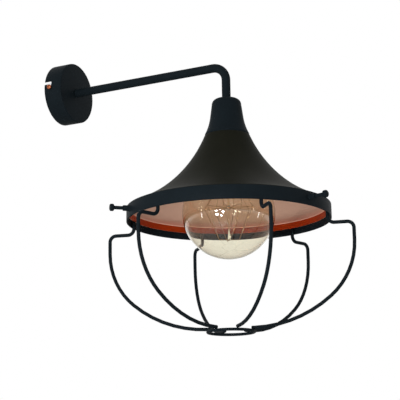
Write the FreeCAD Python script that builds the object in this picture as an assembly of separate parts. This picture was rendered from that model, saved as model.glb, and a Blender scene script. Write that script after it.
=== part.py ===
"""Cage wall light: a swan arm, a spun steel shade, a clear globe bulb and a clamped wire cage.

Frame: origin at the centre of the wall plate on the wall plane, +Y into the wall, +Z up.
The arm runs out along -Y and turns down to the lamp axis. All sizes are in millimetres.
"""
import FreeCAD, Part
import math
import os

from FreeCAD import Vector

# ---- arm and wall plate ------------------------------------------------------------
arm_reach = 270.0            # wall to lamp axis
arm_tube_diameter = 12.0
arm_tube_wall = 1.0
arm_bend_radius = 20.0       # centreline
arm_drop = 47.9              # arm axis to the top of the neck cap
canopy_diameter = 87.6
canopy_depth = 27.4
canopy_wall = 1.2
canopy_edge_radius = 1.6

# ---- threaded nipples, nuts and washers of the arm ---------------------------------
nipple_bore = 7.0
nipple_engagement = 12.0     # length seated in the tube
wall_nipple_reach = 9.0      # past the inner face of the canopy
nut_across_flats = 14.0
nut_thickness = 3.6
washer_diameter = 17.0
washer_thickness = 1.0
bush_flange_diameter = 11.4
bush_flange_thickness = 1.4
bush_length = 6.0
bush_wall = 0.7

# ---- wall bracket and its two side screws -------------------------------------------
bracket_thickness = 1.6
bracket_width = 18.0
bracket_ear_width = 13.0
bracket_ear_height = 15.0
bracket_ear_clearance = 0.5  # ear corners to the inside of the canopy
wall_screw_spacing = 50.0
wall_screw_slot_width = 5.0
wall_screw_slot_length = 12.0
cable_hole_diameter = 12.0
side_screw_diameter = 4.0
side_screw_head_diameter = 6.8
side_screw_head_height = 2.4
side_screw_from_wall = 9.2
side_screw_gap = 0.3         # screw head to canopy, and shank to slot
side_screw_slot_width = 4.6
slot_tool_length = 8.0
lock_turn = 9.0              # degrees from the entry of the slot to its seat

# ---- terminals ------------------------------------------------------------------------
plate_width = 36.0
plate_height = 48.0
plate_thickness = 1.0
plate_centre_height = 9.5
block_length = 30.0
block_height = 16.0
block_depth = 12.0
block_centre_height = 21.5
pole_pitch = 10.0
insert_diameter = 4.6
insert_bore = 2.6
terminal_screw_diameter = 2.6
terminal_screw_spacing = 8.0
terminal_screw_recess = 1.2
fixing_screw_diameter = 3.0
earth_screw_diameter = 4.0
earth_screw_head_diameter = 8.0
earth_screw_head_height = 2.5
earth_washer_diameter = 8.8
earth_washer_thickness = 0.8
earth_screw_height = -3.0    # below the arm axis
lead_diameter = 2.2
lead_spread = 1.6            # each lead off the tube axis
lead_bend_radius = 4.0
lead_gap = 0.02
lead_back_bow = 8.5          # where the leads turn round, from the wall
lead_end_in_block = 5.5      # above the block's centre
earth_lead_turn = 10.5       # where it turns to the plate, above the earth screw
earth_lead_landing = 6.0
earth_lead_tail = 4.0        # below the earth screw

# ---- neck cap ---------------------------------------------------------------------------
cap_wall = 1.2
cap_top_radius = 20.2
cap_top_corner = 8.0
cap_shoulder_height = 8.0    # top face to the end of the corner
cap_waist_radius = 22.7
cap_waist_below_top = 26.1
cap_bottom_radius = 30.2
cap_rim_height = 2.2         # straight rim at its foot
cap_height = 52.1
cap_edge_round = 0.9

# ---- shade --------------------------------------------------------------------------------
shade_wall = 1.0
shade_top_radius = 30.8
shade_start_angle = 22.64    # degrees off the axis, at the top
shade_rim_radius = 134.5     # outside
shade_flare_height = 99.3    # top face to the start of the rim
shade_rim_height = 10.0
shade_rim_corner = 2.5
shade_top_corner = 1.0

# ---- lampholder -----------------------------------------------------------------------------
holder_radius = 18.6
holder_wall = 1.6
holder_collar_radius = 7.6
holder_collar_height = 4.0
holder_dome_height = 8.0
holder_top_gap = 0.7         # locknut to collar
holder_flange_radius = 24.0
holder_flange_thickness = 3.0
holder_joint_above_shade = 15.8
skirt_radius = 19.6
skirt_length = 19.7
skirt_bore_radius = 15.4
ring_radius = 26.6
ring_flange_thickness = 2.0
ring_collar_radius = 23.0
ring_height = 8.0
thread_clearance = 0.1
core_radius = 16.2
core_thickness = 11.0
shell_wall = 0.45
shell_clearance = 0.3        # bulb thread to screw shell
contact_length = 18.0
contact_width = 7.0
contact_thickness = 0.5
contact_travel = 1.2         # bulb tip to the core
contact_gap = 0.3
holder_block_width = 7.0
holder_block_height = 8.0
holder_block_offset = 10.0   # block centre off the lamp axis
holder_screw_diameter = 3.0
holder_lead_height = 4.0     # lead bore above the core

# ---- bulb ----------------------------------------------------------------------------------------
globe_radius = 62.5
bulb_length = 178.0
bulb_tip_above_shade = 8.5   # contact tip above the shade's top face
bulb_cap_radius = 13.15
bulb_cap_length = 22.0
bulb_thread_pitch = 3.62
bulb_thread_depth = 0.7
bulb_cap_wall = 0.4
bulb_insulator_height = 3.6
bulb_tip_radius = 4.6
bulb_tip_height = 0.9
glass_wall = 0.8
neck_glass_radius = 12.4
neck_glass_straight = 1.5    # cap to the start of the flare into the globe
glass_in_cap = 4.0
stem_flare_height = 9.0
stem_tube_radius = 4.2
stem_tube_length = 18.0
stem_rod_radius = 1.3
stem_foot_radius = 2.2
stem_foot_height = 14.5
stem_foot_above_base = 25.0  # globe's lowest point to the stem's foot
button_radius = 2.9
top_hook_radius = 12.0
top_hook_height = 47.0       # above the globe's centre
mid_hook_radius = 33.0
mid_hook_height = 7.0
low_hook_radius = 13.5
strand_count = 8
filament_radius = 0.3
support_radius = 0.35

# ---- cage ------------------------------------------------------------------------------------------
band_rim_gap = 0.5           # shade's rim to the band
band_wall = 2.0
band_height = 18.4
band_above_rim_start = -0.9  # top of the band, against the start of the shade's rim
wire_count = 6
wire_diameter = 4.8
wire_first_angle = 103.4     # degrees from +X, seen from above
wire_weld_gap = 0.1
wire_top_below_rim = 0.7
wire_step_below_band = 10.1
wire_step_bend = 8.5
cage_overhang = 29.5         # wire centreline at the widest, outside the band
cage_straight = 25.0         # step to the start of the belly
cage_belly_height = 108.3
cage_belly_side_radius = 93.0
cage_belly_foot_radius = 31.3
wire_end_radius = 27.4
ring_wire_diameter = 4.0
ring_centre_radius = 30.8

# ---- thumbscrews and their bosses ------------------------------------------------------------------
screw_count = 3
screw_offset_angle = 31.4    # from the first wire
screw_below_band_top = 7.6
boss_diameter = 7.6
boss_length = 8.7
thumb_shank_diameter = 4.8
thumb_thread_clearance = 0.06
thumb_head_diameter = 9.6
thumb_head_length = 5.2
thumb_head_chamfer = 0.9
thumb_shank_exposed = 12.4
thumb_tip_gap = 0.3
knurl_count = 24
knurl_depth = 0.35

# ---- derived places ---------------------------------------------------------------------------------
canopy_radius = canopy_diameter / 2
canopy_bore_radius = canopy_radius - canopy_wall
plate_face = -(canopy_depth - canopy_wall)          # inner front face of the canopy
tube_radius = arm_tube_diameter / 2
tube_bore_radius = tube_radius - arm_tube_wall
nipple_radius = tube_bore_radius
cap_top = -arm_drop
shade_top = cap_top - cap_height
rim_start = shade_top - shade_flare_height
rim_end = rim_start - shade_rim_height
band_radius = shade_rim_radius + band_rim_gap + band_wall
cage_radius = band_radius + cage_overhang
band_top = rim_start + band_above_rim_start
band_bottom = band_top - band_height
screw_height = band_top - screw_below_band_top
bulb_tip = shade_top + bulb_tip_above_shade
globe_centre = bulb_tip - bulb_length + globe_radius
bulb_cap_top = bulb_tip - bulb_tip_height - bulb_insulator_height
bulb_cap_bottom = bulb_cap_top - bulb_cap_length
bulb_cap_bore = bulb_cap_radius - bulb_thread_depth - bulb_cap_wall
stem_base = bulb_cap_bottom
stem_end = globe_centre - globe_radius + stem_foot_above_base
wire_radius = wire_diameter / 2
wire_inner_place = band_radius - band_wall - wire_radius - wire_weld_gap
step_level = band_bottom - wire_step_below_band
belly_top = step_level - cage_straight
belly_foot = belly_top - cage_belly_height
ring_level = belly_foot - wire_radius - wire_weld_gap - ring_wire_diameter / 2
screw_angles = [wire_first_angle + screw_offset_angle + 360.0 / screw_count * k for k in range(screw_count)]
wire_angles = [wire_first_angle + 360.0 / wire_count * k for k in range(wire_count)]

LAMP = Vector(0, -arm_reach, 0)
UP = Vector(0, 0, 1)
OUT = Vector(0, -1, 0)


# ---- small helpers ---------------------------------------------------------------------------------
def export(name, shape):
    shape.exportStep("parts/" + name + ".step")


def spin(points, base=LAMP):
    """A solid of revolution about a vertical axis through base, from (radius, height) points.

    A point may be a pair, or a triple whose third value is the bulge point of an arc to it.
    """
    edges = []
    last = points[0]
    for item in points[1:] + [points[0]]:
        start = Vector(last[0], 0, last[1])
        end = Vector(item[0], 0, item[1])
        if start.distanceToPoint(end) > 1e-6:
            if len(item) == 3:
                middle = Vector(item[2][0], 0, item[2][1])
                edges.append(Part.Arc(start, middle, end).toShape())
            else:
                edges.append(Part.LineSegment(start, end).toShape())
        last = item
    face = Part.Face(Part.Wire(edges))
    solid = face.revolve(Vector(0, 0, 0), UP, 360)
    solid.translate(base)
    return solid


def arc_point(centre, radius, angle):
    """A point of a profile at an angle in degrees from +radius, counter-clockwise."""
    turn = math.radians(angle)
    return (centre[0] + radius * math.cos(turn), centre[1] + radius * math.sin(turn))


def rod(start, direction, radius, length):
    return Part.makeCylinder(radius, length, start, direction)


def tube(start, direction, outer, inner, length):
    return rod(start, direction, outer, length).cut(rod(start, direction, inner, length))


def box(x0, x1, y0, y1, z0, z1):
    return Part.makeBox(x1 - x0, y1 - y0, z1 - z0, Vector(x0, y0, z0))


def filleted_path(points, radii):
    """Straight runs through points, joined by tangent arcs: one radius, or one for each corner."""
    if not isinstance(radii, list):
        radii = [radii] * (len(points) - 2)
    edges = []
    last = points[0]
    for before, corner, after, radius in zip(points, points[1:], points[2:], radii):
        back = (before - corner).normalize()
        ahead = (after - corner).normalize()
        half = math.acos(max(-1.0, min(1.0, back.dot(ahead)))) / 2
        setback = radius / math.tan(half)
        entry = corner + back * setback
        leave = corner + ahead * setback
        bisector = (back + ahead).normalize()
        middle = corner + bisector * (radius / math.sin(half) - radius)
        edges.append(Part.LineSegment(last, entry).toShape())
        edges.append(Part.Arc(entry, middle, leave).toShape())
        last = leave
    edges.append(Part.LineSegment(last, points[-1]).toShape())
    return Part.Wire(edges)


def sweep(path, radius):
    """A round bar along a wire of lines and arcs."""
    start = path.Edges[0]
    point = start.valueAt(start.FirstParameter)
    along = start.tangentAt(start.FirstParameter)
    ring = Part.Wire(Part.Circle(point, along, radius).toShape())
    return path.makePipeShell([ring], True, False)


def radial(angle):
    turn = math.radians(angle)
    return Vector(math.cos(turn), math.sin(turn), 0)


def at_lamp(radius, angle, height):
    return LAMP + radial(angle) * radius + UP * height


def hexagon(centre, direction, across_flats, thickness):
    """A hexagonal prism along Y or Z."""
    corner = across_flats / 2 / math.cos(math.pi / 6)
    side = UP if abs(direction.z) < 0.5 else Vector(1, 0, 0)
    points = []
    for k in range(7):
        turn = FreeCAD.Rotation(direction, 60.0 * k)
        points.append(centre + turn.multVec(side) * corner)
    return Part.Face(Part.makePolygon(points)).extrude(direction * thickness)


# ---- wall plate and arm -----------------------------------------------------------------------------
def wall_bracket():
    """A zinc-plated strap with two bent ears, slots for the wall screws and a cable hole."""
    half_width = bracket_ear_width / 2
    ear_outer = math.sqrt((canopy_bore_radius - bracket_ear_clearance) ** 2 - half_width ** 2)
    half = bracket_width / 2
    strap = box(-ear_outer, ear_outer, -bracket_thickness, 0, -half_width, half_width)
    middle = wall_screw_spacing / 2 + wall_screw_slot_length / 2 + 2
    strap = strap.fuse(box(-middle, middle, -bracket_thickness, 0, -half, half))
    for side in (-1, 1):
        outer = side * ear_outer
        inner = side * (ear_outer - bracket_thickness)
        ear = box(min(outer, inner), max(outer, inner), -bracket_ear_height, 0, -half_width, half_width)
        strap = strap.fuse(ear)
        centre = side * wall_screw_spacing / 2
        run = (wall_screw_slot_length - wall_screw_slot_width) / 2
        slot_radius = wall_screw_slot_width / 2
        slot = box(centre - run, centre + run, -bracket_thickness, 0, -slot_radius, slot_radius)
        for end in (centre - run, centre + run):
            slot = slot.fuse(rod(Vector(end, 0, 0), OUT, slot_radius, bracket_thickness))
        strap = strap.cut(slot)
        reach = Vector(side * (ear_outer - 2 * bracket_thickness), -side_screw_from_wall, 0)
        hole = rod(reach, Vector(side, 0, 0), side_screw_diameter / 2, 4 * bracket_thickness)
        strap = strap.cut(hole)
    strap = strap.cut(rod(Vector(0, 0, 0), OUT, cable_hole_diameter / 2, bracket_thickness))
    return strap.removeSplitter()


def canopy_screws():
    """Two brass cheese-head screws, through the canopy's slots into the bracket's ears."""
    half_width = bracket_ear_width / 2
    ear_outer = math.sqrt((canopy_bore_radius - bracket_ear_clearance) ** 2 - half_width ** 2)
    head_start = canopy_radius + side_screw_gap
    screws = []
    for side in (-1, 1):
        out = Vector(side, 0, 0)
        inner = Vector(side * (ear_outer - bracket_thickness - 1.5), -side_screw_from_wall, 0)
        shank_length = head_start - abs(inner.x)
        shank = rod(inner, out, side_screw_diameter / 2, shank_length)
        head_base = Vector(side * head_start, -side_screw_from_wall, 0)
        head = rod(head_base, out, side_screw_head_diameter / 2, side_screw_head_height)
        screw = shank.fuse(head)
        edges = [e for e in screw.Edges if abs(abs(e.BoundBox.Center.x) - head_start
                                               - side_screw_head_height) < 0.01]
        screw = screw.makeFillet(0.6, edges)
        slot_depth = 1.2
        low_x = side * (head_start + side_screw_head_height - slot_depth)
        high_x = side * (head_start + side_screw_head_height + 1)
        reach = side_screw_head_diameter
        cut = box(min(low_x, high_x), max(low_x, high_x), -0.5, 0.5, -reach, reach)
        cut.rotate(Vector(0, 0, 0), Vector(1, 0, 0), 25)
        cut.translate(Vector(0, -side_screw_from_wall, 0))
        screws.append(screw.cut(cut))
    return Part.makeCompound(screws)


def canopy():
    """The drawn steel wall cup, with a bayonet slot at each side and the arm's hole."""
    cup = rod(Vector(0, 0, 0), OUT, canopy_radius, canopy_depth)
    front = [e for e in cup.Edges if abs(e.BoundBox.Center.y + canopy_depth) < 0.01 and len(e.Vertexes) == 1]
    cup = cup.makeFillet(canopy_edge_radius, front)
    bore = rod(Vector(0, 0, 0), OUT, canopy_bore_radius, canopy_depth - canopy_wall)
    inner_front = [e for e in bore.Edges if abs(e.BoundBox.Center.y - plate_face) < 0.01
                   and len(e.Vertexes) == 1]
    cup = cup.cut(bore.makeFillet(canopy_edge_radius - canopy_wall + 0.6, inner_front))
    cup = cup.cut(rod(Vector(0, 0, 0), OUT, nipple_radius + 0.1, canopy_depth + 1))
    half = side_screw_slot_width / 2
    deep = canopy_radius + 2
    for side in (-1, 1):
        seat = Vector(side * (canopy_bore_radius - 3), -side_screw_from_wall, 0)
        pieces = []
        steps = 6
        for k in range(steps + 1):
            hole = rod(seat, Vector(side, 0, 0), half, slot_tool_length)
            hole.rotate(Vector(0, 0, 0), Vector(0, 1, 0), lock_turn * k / steps)
            pieces.append(hole)
        low, high = sorted((side * (canopy_bore_radius - 3), side * deep))
        entry = box(low, high, -side_screw_from_wall, 1, -half, half)
        entry.rotate(Vector(0, 0, 0), Vector(0, 1, 0), lock_turn)
        cup = cup.cut(pieces[0].multiFuse(pieces[1:] + [entry]))
    return cup


def arm_tube():
    """The bent steel tube, seated on the canopy's face and on the neck cap."""
    path_points = [Vector(0, -canopy_depth, 0), Vector(0, -arm_reach, 0), Vector(0, -arm_reach, cap_top)]
    outer = sweep(filleted_path(path_points, arm_bend_radius), tube_radius)
    inner = sweep(filleted_path(path_points, arm_bend_radius), tube_bore_radius)
    return outer.cut(inner)


def wall_nipple():
    start = Vector(0, -canopy_depth - nipple_engagement, 0)
    length = nipple_engagement + canopy_wall + wall_nipple_reach
    return tube(start, Vector(0, 1, 0), nipple_radius, nipple_bore / 2, length)


def wall_nut_face():
    return plate_face + plate_thickness + washer_thickness


def arm_locknut():
    nut = hexagon(Vector(0, wall_nut_face(), 0), Vector(0, 1, 0), nut_across_flats, nut_thickness)
    return nut.cut(rod(Vector(0, wall_nut_face(), 0), Vector(0, 1, 0), nipple_radius, nut_thickness))


def arm_washer():
    face = Vector(0, plate_face + plate_thickness, 0)
    return tube(face, Vector(0, 1, 0), washer_diameter / 2, nipple_radius + 0.1, washer_thickness)


def nipple_bush():
    """A plastic bush that keeps the leads off the nipple's edge."""
    mouth = plate_face + wall_nipple_reach
    flange = tube(Vector(0, mouth, 0), Vector(0, 1, 0), bush_flange_diameter / 2,
                  nipple_bore / 2 - bush_wall, bush_flange_thickness)
    sleeve = tube(Vector(0, mouth - bush_length, 0), Vector(0, 1, 0), nipple_bore / 2,
                  nipple_bore / 2 - bush_wall, bush_length)
    return flange.fuse(sleeve).removeSplitter()


# ---- terminals inside the canopy ------------------------------------------------------------------------
def pole_positions():
    return [-pole_pitch, 0.0, pole_pitch]


def block_face():
    return plate_face + plate_thickness


def lead_level():
    """Distance of the terminal bores from the wall, as a Y value."""
    return block_face() + block_depth / 2


def earth_screw_place():
    return pole_pitch + lead_diameter / 2 + earth_screw_diameter / 2 + 0.1


def terminal_plate():
    half = plate_width / 2
    low = plate_centre_height - plate_height / 2
    plate = box(-half, half, plate_face, plate_face + plate_thickness, low, low + plate_height)
    plate = plate.makeFillet(3.0, [e for e in plate.Edges if e.BoundBox.YLength > 0.5 * plate_thickness
                                   and e.BoundBox.XLength < 0.01 and e.BoundBox.ZLength < 0.01])
    through = Vector(0, 1, 0)
    plate = plate.cut(rod(Vector(0, plate_face, 0), through, nipple_radius + 0.1, plate_thickness))
    fixing = Vector(pole_pitch / 2, plate_face, block_centre_height)
    plate = plate.cut(rod(fixing, through, fixing_screw_diameter / 2, plate_thickness))
    earth = Vector(earth_screw_place(), plate_face, earth_screw_height)
    return plate.cut(rod(earth, through, earth_screw_diameter / 2, plate_thickness))


def terminal_block():
    face = block_face()
    half = block_length / 2
    low = block_centre_height - block_height / 2
    body = box(-half, half, face, face + block_depth, low, low + block_height)
    for x in pole_positions():
        body = body.cut(rod(Vector(x, lead_level(), low), UP, insert_diameter / 2, block_height))
        for offset in (-terminal_screw_spacing / 2, terminal_screw_spacing / 2):
            start = Vector(x, lead_level(), block_centre_height + offset)
            body = body.cut(rod(start, Vector(0, 1, 0), insert_diameter / 2 - 0.5, block_depth))
    for x in (-pole_pitch / 2, pole_pitch / 2):
        groove = box(x - 0.6, x + 0.6, face + block_depth - 2, face + block_depth, low, low + block_height)
        body = body.cut(groove)
    fixing = Vector(pole_pitch / 2, face, block_centre_height)
    return body.cut(rod(fixing, Vector(0, 1, 0), fixing_screw_diameter / 2, block_depth))


def terminal_inserts():
    low = block_centre_height - block_height / 2 + 0.5
    parts = []
    for x in pole_positions():
        insert = tube(Vector(x, lead_level(), low), UP, insert_diameter / 2, insert_bore / 2, block_height - 1)
        for offset in (-terminal_screw_spacing / 2, terminal_screw_spacing / 2):
            start = Vector(x, lead_level(), block_centre_height + offset)
            insert = insert.cut(rod(start, Vector(0, 1, 0), terminal_screw_diameter / 2, insert_diameter))
        parts.append(insert)
    return Part.makeCompound(parts)


def terminal_screws():
    """Six clamp screws, their tips on the leads or on the far wall of the insert's bore."""
    parts = []
    top = block_face() + block_depth - terminal_screw_recess
    tip = lead_level() + lead_diameter / 2 + 0.05
    for x in pole_positions():
        for offset in (-terminal_screw_spacing / 2, terminal_screw_spacing / 2):
            start = Vector(x, tip, block_centre_height + offset)
            screw = rod(start, Vector(0, 1, 0), terminal_screw_diameter / 2, top - tip)
            slot = box(x - 2, x + 2, top - 0.6, top + 1, start.z - 0.25, start.z + 0.25)
            parts.append(screw.cut(slot))
    return Part.makeCompound(parts)


def fixing_screw():
    """Holds the terminal block on its plate, with a nut's worth of thread in the plate."""
    x = pole_pitch / 2
    length = plate_thickness + block_depth - 2
    start = Vector(x, plate_face, block_centre_height)
    shank = rod(start, Vector(0, 1, 0), fixing_screw_diameter / 2, length)
    slot = box(x - 2, x + 2, plate_face + length - 0.7, plate_face + length + 1,
               block_centre_height - 0.3, block_centre_height + 0.3)
    return shank.cut(slot)


def earth_screw():
    """A brass screw and washer that clamp the earth lead on the plate."""
    x = earth_screw_place()
    face = plate_face
    washer_face = face + plate_thickness + lead_diameter + 2 * lead_gap
    shank_length = washer_face - face + earth_washer_thickness
    start = Vector(x, face, earth_screw_height)
    screw = rod(start, Vector(0, 1, 0), earth_screw_diameter / 2, shank_length)
    washer = rod(Vector(x, washer_face, earth_screw_height), Vector(0, 1, 0),
                 earth_washer_diameter / 2, earth_washer_thickness)
    head_face = washer_face + earth_washer_thickness
    head = rod(Vector(x, head_face, earth_screw_height), Vector(0, 1, 0),
               earth_screw_head_diameter / 2, earth_screw_head_height)
    slot = box(x - 5, x + 5, head_face + earth_screw_head_height - 1, head_face + earth_screw_head_height + 1,
               earth_screw_height - 0.5, earth_screw_height + 0.5)
    return screw.multiFuse([washer, head]).cut(slot)


def supply_lead(pole, side):
    """One insulated lead: terminal, a turn by the wall, through the arm, to the lampholder."""
    x = side * lead_spread
    back = -lead_back_bow
    exit_level = block_centre_height - block_height / 2 - 2.4
    landing = core_face() + holder_lead_height
    points = [
        Vector(pole, lead_level(), block_centre_height + lead_end_in_block),
        Vector(pole, lead_level(), exit_level),
        Vector(pole, back, exit_level - 1.0),
        Vector(x, back + 0.5, 0),
        Vector(x, -arm_reach, 0),
        Vector(x, -arm_reach, landing),
        Vector(side * (holder_block_offset + holder_block_width / 2), -arm_reach, landing),
    ]
    small = lead_bend_radius
    path = filleted_path(points, [small, small, small, arm_bend_radius, small])
    return sweep(path, lead_diameter / 2)


def earth_lead():
    x = pole_pitch
    flat = plate_face + plate_thickness + lead_diameter / 2 + lead_gap
    points = [
        Vector(x, lead_level(), block_centre_height + lead_end_in_block),
        Vector(x, lead_level(), earth_screw_height + earth_lead_turn),
        Vector(x, flat, earth_screw_height + earth_lead_landing),
        Vector(x, flat, earth_screw_height - earth_lead_tail),
    ]
    return sweep(filleted_path(points, 2.4), lead_diameter / 2)


# ---- neck cap and its fixings -----------------------------------------------------------------------------
def cap_outline(inset):
    """The cap's profile from its top face to its bottom edge, moved inwards by inset."""
    flat_radius = cap_top_radius - cap_top_corner
    corner = (flat_radius, cap_top - cap_top_corner)
    radius = cap_top_corner - inset
    top_point = (flat_radius, cap_top - inset)
    corner_middle = arc_point(corner, radius, 45)
    corner_end = (cap_top_radius - inset, cap_top - cap_shoulder_height)
    waist = (cap_waist_radius - inset, cap_top - cap_waist_below_top)
    foot = (cap_bottom_radius - inset, shade_top + cap_rim_height)
    lean = math.atan2(cap_waist_radius - cap_top_radius, cap_waist_below_top - cap_shoulder_height)
    chord = math.atan2(foot[0] - waist[0], waist[1] - foot[1])
    length = math.hypot(foot[0] - waist[0], waist[1] - foot[1])
    bulge = length / 2 * math.tan((chord - lean) / 2)
    middle = ((waist[0] + foot[0]) / 2 - bulge * math.cos(chord),
              (waist[1] + foot[1]) / 2 - bulge * math.sin(chord))
    return top_point, corner_middle, corner_end, waist, middle, foot


def neck_cap():
    """The spun cup between the arm and the shade, over the lampholder."""
    hole = nipple_radius + 0.2
    top, corner_middle, corner_end, waist, middle, foot = cap_outline(0)
    top_i, corner_middle_i, corner_end_i, waist_i, middle_i, foot_i = cap_outline(cap_wall)
    points = [
        (hole, cap_top), top, (corner_end[0], corner_end[1], corner_middle), waist,
        (foot[0], foot[1], middle), (foot[0], shade_top), (foot_i[0], shade_top), foot_i,
        (waist_i[0], waist_i[1], middle_i), corner_end_i,
        (top_i[0], top_i[1], corner_middle_i), (hole, cap_top - cap_wall),
    ]
    cap = spin(points)
    edge = [e for e in cap.Edges if len(e.Vertexes) == 1 and abs(e.BoundBox.Center.z - shade_top) < 0.01
            and e.BoundBox.XLength > 2 * foot_i[0] + 1]
    return cap.makeFillet(cap_edge_round, edge)


def lamp_nipple():
    top = LAMP + UP * (cap_top + nipple_engagement)
    length = nipple_engagement + cap_wall + nut_thickness + holder_top_gap + holder_collar_height
    return tube(top, UP * -1, nipple_radius, nipple_bore / 2, length)


def neck_locknut():
    face = LAMP + UP * (cap_top - cap_wall)
    nut = hexagon(face, UP * -1, nut_across_flats, nut_thickness)
    return nut.cut(rod(face, UP * -1, nipple_radius, nut_thickness))


# ---- lampholder ----------------------------------------------------------------------------------------------
def holder_top():
    return cap_top - cap_wall - nut_thickness - holder_top_gap


def holder_joint():
    return shade_top + holder_joint_above_shade


def core_face():
    """The upper face of the lampholder's insulating core."""
    return bulb_tip + contact_travel + core_thickness


def holder_cap():
    """The upper shell, screwed on the nipple, that closes over the terminals."""
    top = holder_top()
    collar_end = top - holder_collar_height
    dome_end = collar_end - holder_dome_height
    inner = holder_radius - holder_wall
    return spin([
        (nipple_radius, top), (holder_collar_radius, top), (holder_collar_radius, collar_end + 1.5),
        (holder_radius, dome_end, (holder_radius - 3.2, collar_end - 1.2)), (holder_radius, holder_joint()),
        (inner, holder_joint()), (inner, dome_end),
        (nipple_radius, collar_end, (inner - 4.4, collar_end - 2.2)),
    ])


def holder_body():
    """The lower shell: a seat flange on the shade and a threaded skirt through it."""
    joint = holder_joint()
    inner = holder_radius - holder_wall
    seat_bore = core_radius + 0.1
    flange_top = shade_top + holder_flange_thickness
    bottom = shade_top - skirt_length
    return spin([
        (inner, joint), (holder_radius, joint), (holder_radius, flange_top + 1.5),
        (holder_flange_radius - 1, flange_top), (holder_flange_radius, flange_top - 1),
        (holder_flange_radius, shade_top), (skirt_radius, shade_top), (skirt_radius, bottom + 1),
        (skirt_radius - 1, bottom), (skirt_bore_radius, bottom), (skirt_bore_radius, bulb_tip + contact_travel),
        (seat_bore, bulb_tip + contact_travel), (seat_bore, joint - 2),
    ])


def shade_ring():
    """The threaded ring that clamps the shade up against the holder's flange."""
    top = shade_top - shade_wall
    bore = skirt_radius + thread_clearance
    return spin([
        (bore, top), (ring_radius - 0.6, top), (ring_radius, top - 0.6),
        (ring_radius, top - ring_flange_thickness), (ring_collar_radius, top - ring_flange_thickness - 1),
        (ring_collar_radius - 1, top - ring_height), (bore, top - ring_height),
    ])


def holder_core():
    """The ceramic insulator that carries the contacts and the two lead terminals."""
    return rod(LAMP + UP * (bulb_tip + contact_travel), UP, core_radius, core_thickness)


def centre_contact():
    """The sprung brass strip under the core that meets the bulb's tip."""
    top = bulb_tip + contact_travel
    low = bulb_tip + contact_gap
    half = contact_width / 2
    y = -arm_reach
    strip = box(-contact_length / 2, contact_length / 2, y - half, y + half, top - contact_thickness, top)
    pad = rod(Vector(0, y, low), UP, half - 0.3, top - contact_thickness - low)
    return strip.fuse(pad).removeSplitter()


def shell_inner_radius():
    return bulb_cap_radius + shell_clearance


def screw_shell():
    """The thin threaded shell that takes the bulb's cap, hung from the core by two tabs."""
    inner = shell_inner_radius()
    outer = inner + shell_wall
    top = bulb_cap_top - 0.5
    bottom = shade_top - skirt_length + 3
    shell = tube(LAMP + UP * bottom, UP, outer, inner, top - bottom)
    y = -arm_reach
    for side in (-1, 1):
        near, far = sorted((y + side * inner, y + side * outer))
        shell = shell.fuse(box(-3, 3, near + 0.1, far, top - 2, bulb_tip + contact_travel))
    return shell.removeSplitter()


def holder_terminals():
    """Two brass blocks on the core; a lead enters each from the side."""
    parts = []
    face = core_face()
    half = holder_block_width / 2
    for side in (-1, 1):
        x = side * holder_block_offset
        block = box(x - half, x + half, -arm_reach - half, -arm_reach + half, face, face + holder_block_height)
        bore = rod(LAMP + Vector(x - half, 0, face + holder_lead_height), Vector(1, 0, 0),
                   insert_bore / 2, holder_block_width)
        hole = rod(LAMP + Vector(x, 0, face + holder_lead_height), UP, holder_screw_diameter / 2,
                   holder_block_height)
        parts.append(block.cut(bore).cut(hole))
    return Part.makeCompound(parts)


def holder_screws():
    parts = []
    tip = core_face() + holder_lead_height + lead_diameter / 2 + lead_gap
    top = core_face() + holder_block_height + 0.6
    for side in (-1, 1):
        x = side * holder_block_offset
        shank = rod(LAMP + Vector(x, 0, tip), UP, holder_screw_diameter / 2, top - tip)
        slot = box(x - 3, x + 3, -arm_reach - 0.3, -arm_reach + 0.3, top - 0.8, top + 1)
        parts.append(shank.cut(slot))
    return Part.makeCompound(parts)


# ---- shade -----------------------------------------------------------------------------------------------------
def shade():
    """One spun sheet: flat top with the holder's hole, a flare on one arc and a straight rim."""
    start = math.radians(shade_start_angle)
    rise = shade_rim_radius - shade_top_radius
    chord = math.atan2(rise, shade_flare_height)
    length = math.hypot(rise, shade_flare_height)
    radius = length / 2 / math.sin(chord - start)
    centre = (shade_top_radius + radius * math.cos(start), shade_top + radius * math.sin(start))
    end_angle = 2 * chord - start

    def flare(angle, inset):
        reach = radius + inset
        return (centre[0] - reach * math.cos(angle), centre[1] - reach * math.sin(angle))

    half = (start + end_angle) / 2
    hole = skirt_radius + 0.4
    rim = shade_rim_radius
    inner_rim = rim - shade_wall
    outer_mid = flare(half, 0)
    inner_end_angle = math.acos((centre[0] - inner_rim) / (radius + shade_wall))
    inner_start_angle = math.asin((centre[1] - shade_top + shade_wall) / (radius + shade_wall))
    inner_mid = flare((inner_start_angle + inner_end_angle) / 2, shade_wall)
    inner_top = flare(inner_start_angle, shade_wall)
    inner_end = flare(inner_end_angle, shade_wall)
    profile = [
        (hole, shade_top), (shade_top_radius, shade_top), (rim, rim_start, outer_mid), (rim, rim_end),
        (inner_rim, rim_end), inner_end, (inner_top[0], inner_top[1], inner_mid),
        (hole, shade_top - shade_wall),
    ]
    solid = spin(profile)
    corner = [e for e in solid.Edges if len(e.Vertexes) == 1
              and abs(e.BoundBox.Center.z - rim_start) < 0.01 and e.BoundBox.XLength > 2 * rim - 0.1]
    solid = solid.makeFillet(shade_rim_corner, corner)
    shoulder = [e for e in solid.Edges if len(e.Vertexes) == 1
                and abs(e.BoundBox.Center.z - shade_top) < 0.01
                and abs(e.BoundBox.XLength - 2 * shade_top_radius) < 0.1]
    solid = solid.makeFillet(shade_top_corner, shoulder)
    inner_corner = [e for e in solid.Edges if len(e.Vertexes) == 1
                    and abs(e.BoundBox.Center.z - inner_end[1]) < 0.01
                    and abs(e.BoundBox.XLength - 2 * inner_rim) < 0.1]
    return solid.makeFillet(shade_rim_corner - shade_wall, inner_corner)


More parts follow.
